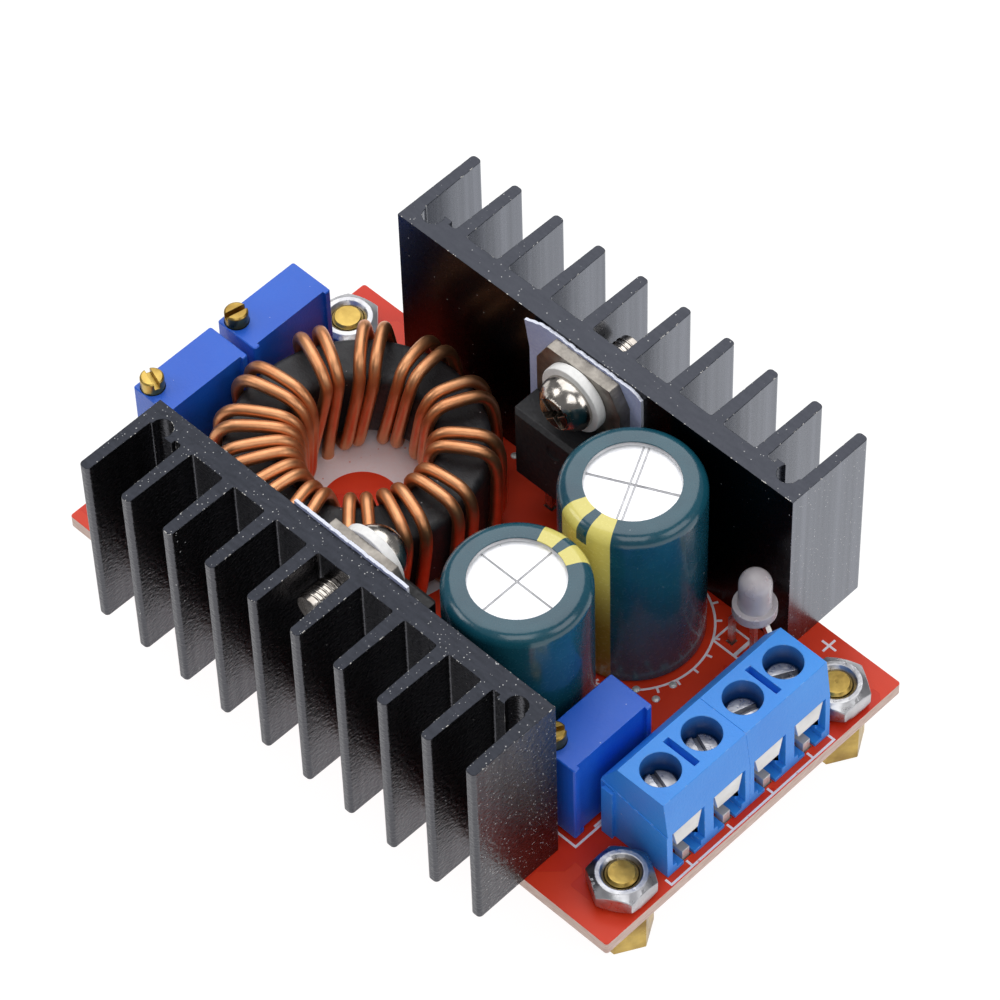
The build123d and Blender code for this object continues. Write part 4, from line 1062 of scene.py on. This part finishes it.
def mouldedFinish(name, light, dark, roughness, shadeWells=False):
    material, tree, shader = surface(name, IOR=1.5)
    cloudy = effect(tree, "grain", Scale=150.0, Detail=3.0)
    fine = effect(tree, "grain", Scale=4200.0, Detail=4.0)
    scuffs = effect(tree, "edgeWear", Scale=1800.0, Amount=0.42)
    dust = effect(tree, "specks", Scale=900.0, Size=0.07, Share=0.15)
    color = blendColors(tree, times(tree, cloudy, 0.5), light, dark)
    color = blendColors(tree, times(tree, scuffs, 0.25), color, tint(170, 200, 240))
    color = blendColors(tree, times(tree, dust, 0.5), color, tint(225, 230, 240))
    if shadeWells:
        # painted shade: the screw wells are painted dark blue
        shade = times(tree, wellShadeMask(tree), 0.8)
        color = blendColors(tree, shade, color, plastic["wellShade"])
    rough = between(tree, fine, 0.0, 1.0, roughness, roughness + 0.12)
    feed(tree, shader, Base_Color=color, Roughness=rough, Normal=bumped(tree, fine, 0.01))
    return material


terminalPlastic = mouldedFinish("terminalPlastic", plastic["terminal"], plastic["terminalDark"], 0.34, True)
trimmerPlastic = mouldedFinish("trimmerPlastic", plastic["trimmer"], plastic["trimmerDark"], 0.3)
seam = (housingLow.y + housingHigh.y) / 2


def closeSeam(mesh):
    # brings the two facing ends of the housings together
    for corner in mesh.verts:
        if abs(corner.co.y / mm - seam) < plastic["seamReach"]:
            corner.co.y = seam * mm


for number in (1, 2):
    dress(f"terminal_housing_{number}", terminalPlastic, 0.05, flatAngle=0.05, change=closeSeam, seam=seam)
for letter in "abc":
    dress(f"trimmer_{letter}_body", trimmerPlastic, edge=0.03, segments=1)
print("dressed the blue mouldings")


# Metal parts

def metalFinish(name, light, dark, roughness, scale=1800.0, relief=0.01, metallic=1.0):
    material, tree, shader = surface(name, Metallic=metallic)
    cloudy = effect(tree, "grain", Scale=scale / 5, Detail=5.0)
    fine = effect(tree, "grain", Scale=scale, Detail=4.0)
    color = blendColors(tree, cloudy, light, dark)
    rough = between(tree, fine, 0.0, 1.0, roughness, roughness + 0.16)
    feed(tree, shader, Base_Color=color, Roughness=rough, Normal=bumped(tree, fine, relief))
    return material


brass = metalFinish("turnedBrass", tint(208, 178, 98), tint(136, 108, 54), 0.26)
zinc = metalFinish("zincSteel", tint(206, 206, 208), tint(150, 150, 156), 0.24, relief=0.014)
nickel = metalFinish("nickelScrew", tint(214, 208, 200), tint(150, 142, 134), 0.12)
tin = metalFinish("tinned", tint(226, 226, 226), tint(176, 176, 178), 0.22)
contactTin = metalFinish("contactTin", tint(240, 240, 238), tint(214, 214, 212), 0.3, metallic=0.4)
tabMetal = metalFinish("tabMetal", tint(172, 166, 158), tint(120, 115, 110), 0.4, scale=2600.0, relief=0.03)

makeVias(contactTin)
dress("standoffs", brass, edge=0.05)
dress("hex_nuts", zinc, edge=0.08)
for letter in "abc":
    dress(f"trimmer_{letter}_screw", brass, edge=0.05)
    paint(f"trimmer_{letter}_pins", tin)
for way in range(1, 5):
    dress(f"terminal_screw_{way}", zinc, edge=0.06)
    dress(f"terminal_clamp_{way}", zinc, edge=0.04)
    dress(f"terminal_contact_{way}", contactTin, edge=0.05)
for name in ("near", "far"):
    dress(f"transistor_{name}_tab", tabMetal, edge=0.06)
    paint(f"transistor_{name}_leads", tin)
for number in (1, 2):
    paint(f"capacitor_{number}_leads", tin)
for name in ("control", "amplifier"):
    paint(f"{name}_chip_leads", tin)
paint("lamp_leads", tin)
paint("solder_joints", tin)
dress("fixing_screws", nickel, edge=0.05)

# Thread on the ends of the fixing screws that stand out between the fins
thread = {
    "radius": 1.43,
    "ridge": 0.13,
    "pitch": 0.5,
    "start": 17.0,
    "end": 19.55,
    "heights": {"near": 17.6, "far": 17.1},
    "samples": 28,
    "step": 0.15,
    "sides": 8,
}


def threadPath(side, height):
    turns = (thread["end"] - thread["start"]) / thread["pitch"]
    count = round(turns * thread["samples"])
    points = []
    for index in range(count + 1):
        angle = 2 * pi * index / thread["samples"]
        along = thread["start"] + thread["pitch"] * index / thread["samples"]
        across, upward = thread["radius"] * cos(angle), thread["radius"] * sin(angle)
        points.append((across, side * along, boardTop + height + upward))
    return points


threadTree = makeTubeTree(nickel)
for name, side in (("near", -1), ("far", 1)):
    line = threadPath(side, thread["heights"][name])
    ridge = grow(f"screwThread.{name}", line, threadTree, thread["ridge"], thread["step"], thread["sides"])
    seat(ridge, "root", "zinc_steel")
print("dressed the metal parts")


# Moulded black, rubber, nylon, lens and ceramic

def mattFinish(name, light, dark, roughness, relief, scale=2400.0):
    material, tree, shader = surface(name, IOR=1.5)
    grain = effect(tree, "grain", Scale=scale, Detail=5.0)
    dust = effect(tree, "specks", Scale=900.0, Size=0.08, Share=0.2)
    color = blendColors(tree, grain, light, dark)
    color = blendColors(tree, times(tree, dust, 0.6), color, tint(180, 180, 182))
    rough = between(tree, grain, 0.0, 1.0, roughness, roughness + 0.12)
    feed(tree, shader, Base_Color=color, Roughness=rough, Normal=bumped(tree, grain, relief))
    return material


def padFinish():
    # lavender rubber on glass cloth, whitish where it is cut
    material, tree, shader = surface("padRubber", IOR=1.5)
    grain = effect(tree, "grain", Scale=3400.0, Detail=5.0)
    clouds = effect(tree, "grain", Scale=260.0, Detail=3.0)
    color = blendColors(tree, grain, tint(206, 214, 246), tint(188, 197, 238))
    color = blendColors(tree, times(tree, clouds, 0.35), color, tint(150, 162, 208))
    cut = put(tree, "ShaderNodeAttribute", attribute_name="edge").outputs["Fac"]
    color = blendColors(tree, cut, color, tint(232, 236, 250))
    rough = between(tree, grain, 0.0, 1.0, 0.5, 0.65)
    feed(tree, shader, Base_Color=color, Roughness=rough, Normal=bumped(tree, grain, 0.02))
    return material


epoxy = mattFinish("blackEpoxy", tint(36, 36, 39), tint(24, 24, 27), 0.5, 0.02)
padRubber = padFinish()
nylon = mattFinish("whiteNylon", tint(250, 249, 247), tint(238, 237, 235), 0.38, 0.01)
bung = mattFinish("bungRubber", tint(30, 30, 31), tint(20, 20, 21), 0.7, 0.03)
ceramic = mattFinish("ceramic", tint(196, 170, 132), tint(176, 148, 110), 0.45, 0.01)
for name in ("near", "far"):
    dress(f"transistor_{name}_case", epoxy, edge=0.08)

# Insulating pads: thin sheets, a little wavy, with a cut top edge that frays
pads = {
    "columns": 90,
    "rows": 60,
    "wave": 0.07,
    "waveAcross": 0.35,
    "waveUp": 0.2,
    "fray": 0.16,
    "frayRate": 1.7,
    "fineRate": 6.0,
    "curl": 0.55,
    "curlRate": 4.5,
    "cornerRound": 1.6,
    "droop": 0.5,
    "looseFrom": 0.75,
}


def makePad(name, side):
    # both faces of the sheet as one closed grid, front face towards the board's middle
    low, high = [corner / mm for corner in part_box(f"insulating_pad_{name}")]
    width, height = high.x - low.x, high.z - low.z
    columns, rows = pads["columns"], pads["rows"]
    mesh = bmesh.new()
    sheets = []
    for face in (0, 1):
        grid = []
        for column in range(columns + 1):
            across = column / columns
            x = low.x + width * across
            fray = noise.noise(Vector((x * pads["frayRate"], side * 3.0, 0.0))) * pads["fray"]
            fray += noise.noise(Vector((x * pads["fineRate"], side * 9.0, 2.0))) * pads["fray"] * 0.5
            fromEnd = min(x - low.x, high.x - x)
            drooping = name == "far" and across > 0.5
            droop = max(1 - fromEnd / pads["cornerRound"], 0) ** 2 * pads["droop"] if drooping else 0
            line = []
            for row in range(rows + 1):
                upward = row / rows
                z = low.z + height * upward
                top = max(upward - pads["looseFrom"], 0) / (1 - pads["looseFrom"])
                z += (fray - droop - pads["fray"]) * top
                ripple = Vector((x * pads["waveAcross"], z * pads["waveUp"], side * 5.0))
                wave = noise.noise(ripple) * pads["wave"] * top
                curl = max(1 - across * pads["curlRate"], 0) ** 2 * top if name == "far" else 0.0
                inside = low.y if side > 0 else high.y
                outside = high.y if side > 0 else low.y
                y = (inside if face == 0 else outside) - side * (abs(wave) + pads["curl"] * curl)
                line.append(mesh.verts.new((x * mm, y * mm, z * mm)))
            grid.append(line)
        sheets.append(grid)
    edgeFaces = []
    for grid in sheets:
        for one, two in zip(grid, grid[1:]):
            for row in range(rows):
                mesh.faces.new((one[row], two[row], two[row + 1], one[row + 1]))
    rim = [(column, 0) for column in range(columns)] + [(columns, row) for row in range(rows)]
    rim += [(column, rows) for column in range(columns, 0, -1)] + [(0, row) for row in range(rows, 0, -1)]
    for index, (column, row) in enumerate(rim):
        after = rim[(index + 1) % len(rim)]
        edgeFaces.append(mesh.faces.new((sheets[0][column][row], sheets[0][after[0]][after[1]],
                                         sheets[1][after[0]][after[1]], sheets[1][column][row])))
    bmesh.ops.recalc_face_normals(mesh, faces=mesh.faces)
    mesh.faces.index_update()
    marked = {face.index for face in edgeFaces}
    smoothAll(mesh)
    piece = newPiece(f"insulatingPad.{name}", mesh)
    edge = piece.data.attributes.new("edge", "FLOAT", "FACE")
    edge.data.foreach_set("value", [float(face.index in marked) for face in piece.data.polygons])
    sharpen(piece, 50)
    piece.data.materials.append(padRubber)
    return seat(piece, "root", "pad_rubber", f"insulating_pad_{name}")


for name, side in (("near", -1), ("far", 1)):
    makePad(name, side)
dress("shoulder_washers", nylon, edge=0.12)
for name in ("control", "amplifier"):
    dress(f"{name}_chip_body", epoxy, edge=0.05)
dress("sense_resistor", epoxy, edge=0.05)
dress("chip_resistors", epoxy, edge=0.04)
dress("chip_capacitors", ceramic, edge=0.06)
for number in (1, 2):
    paint(f"capacitor_{number}_bung", bung)


def lensFinish():
    constants = {"Subsurface_Weight": 0.25, "Transmission_Weight": 0.35, "IOR": 1.45}
    material, tree, shader = surface("milkyLens", **constants)
    shader.inputs["Subsurface Radius"].default_value = (0.002, 0.002, 0.002)
    cloudy = effect(tree, "grain", Scale=500.0, Detail=3.0)
    color = blendColors(tree, cloudy, tint(238, 233, 236), tint(222, 214, 219))
    feed(tree, shader, Base_Color=color, Roughness=between(tree, cloudy, 0.0, 1.0, 0.2, 0.3))
    return material


dress("lamp_lens", lensFinish(), edge=0.08)
print("dressed the small parts")
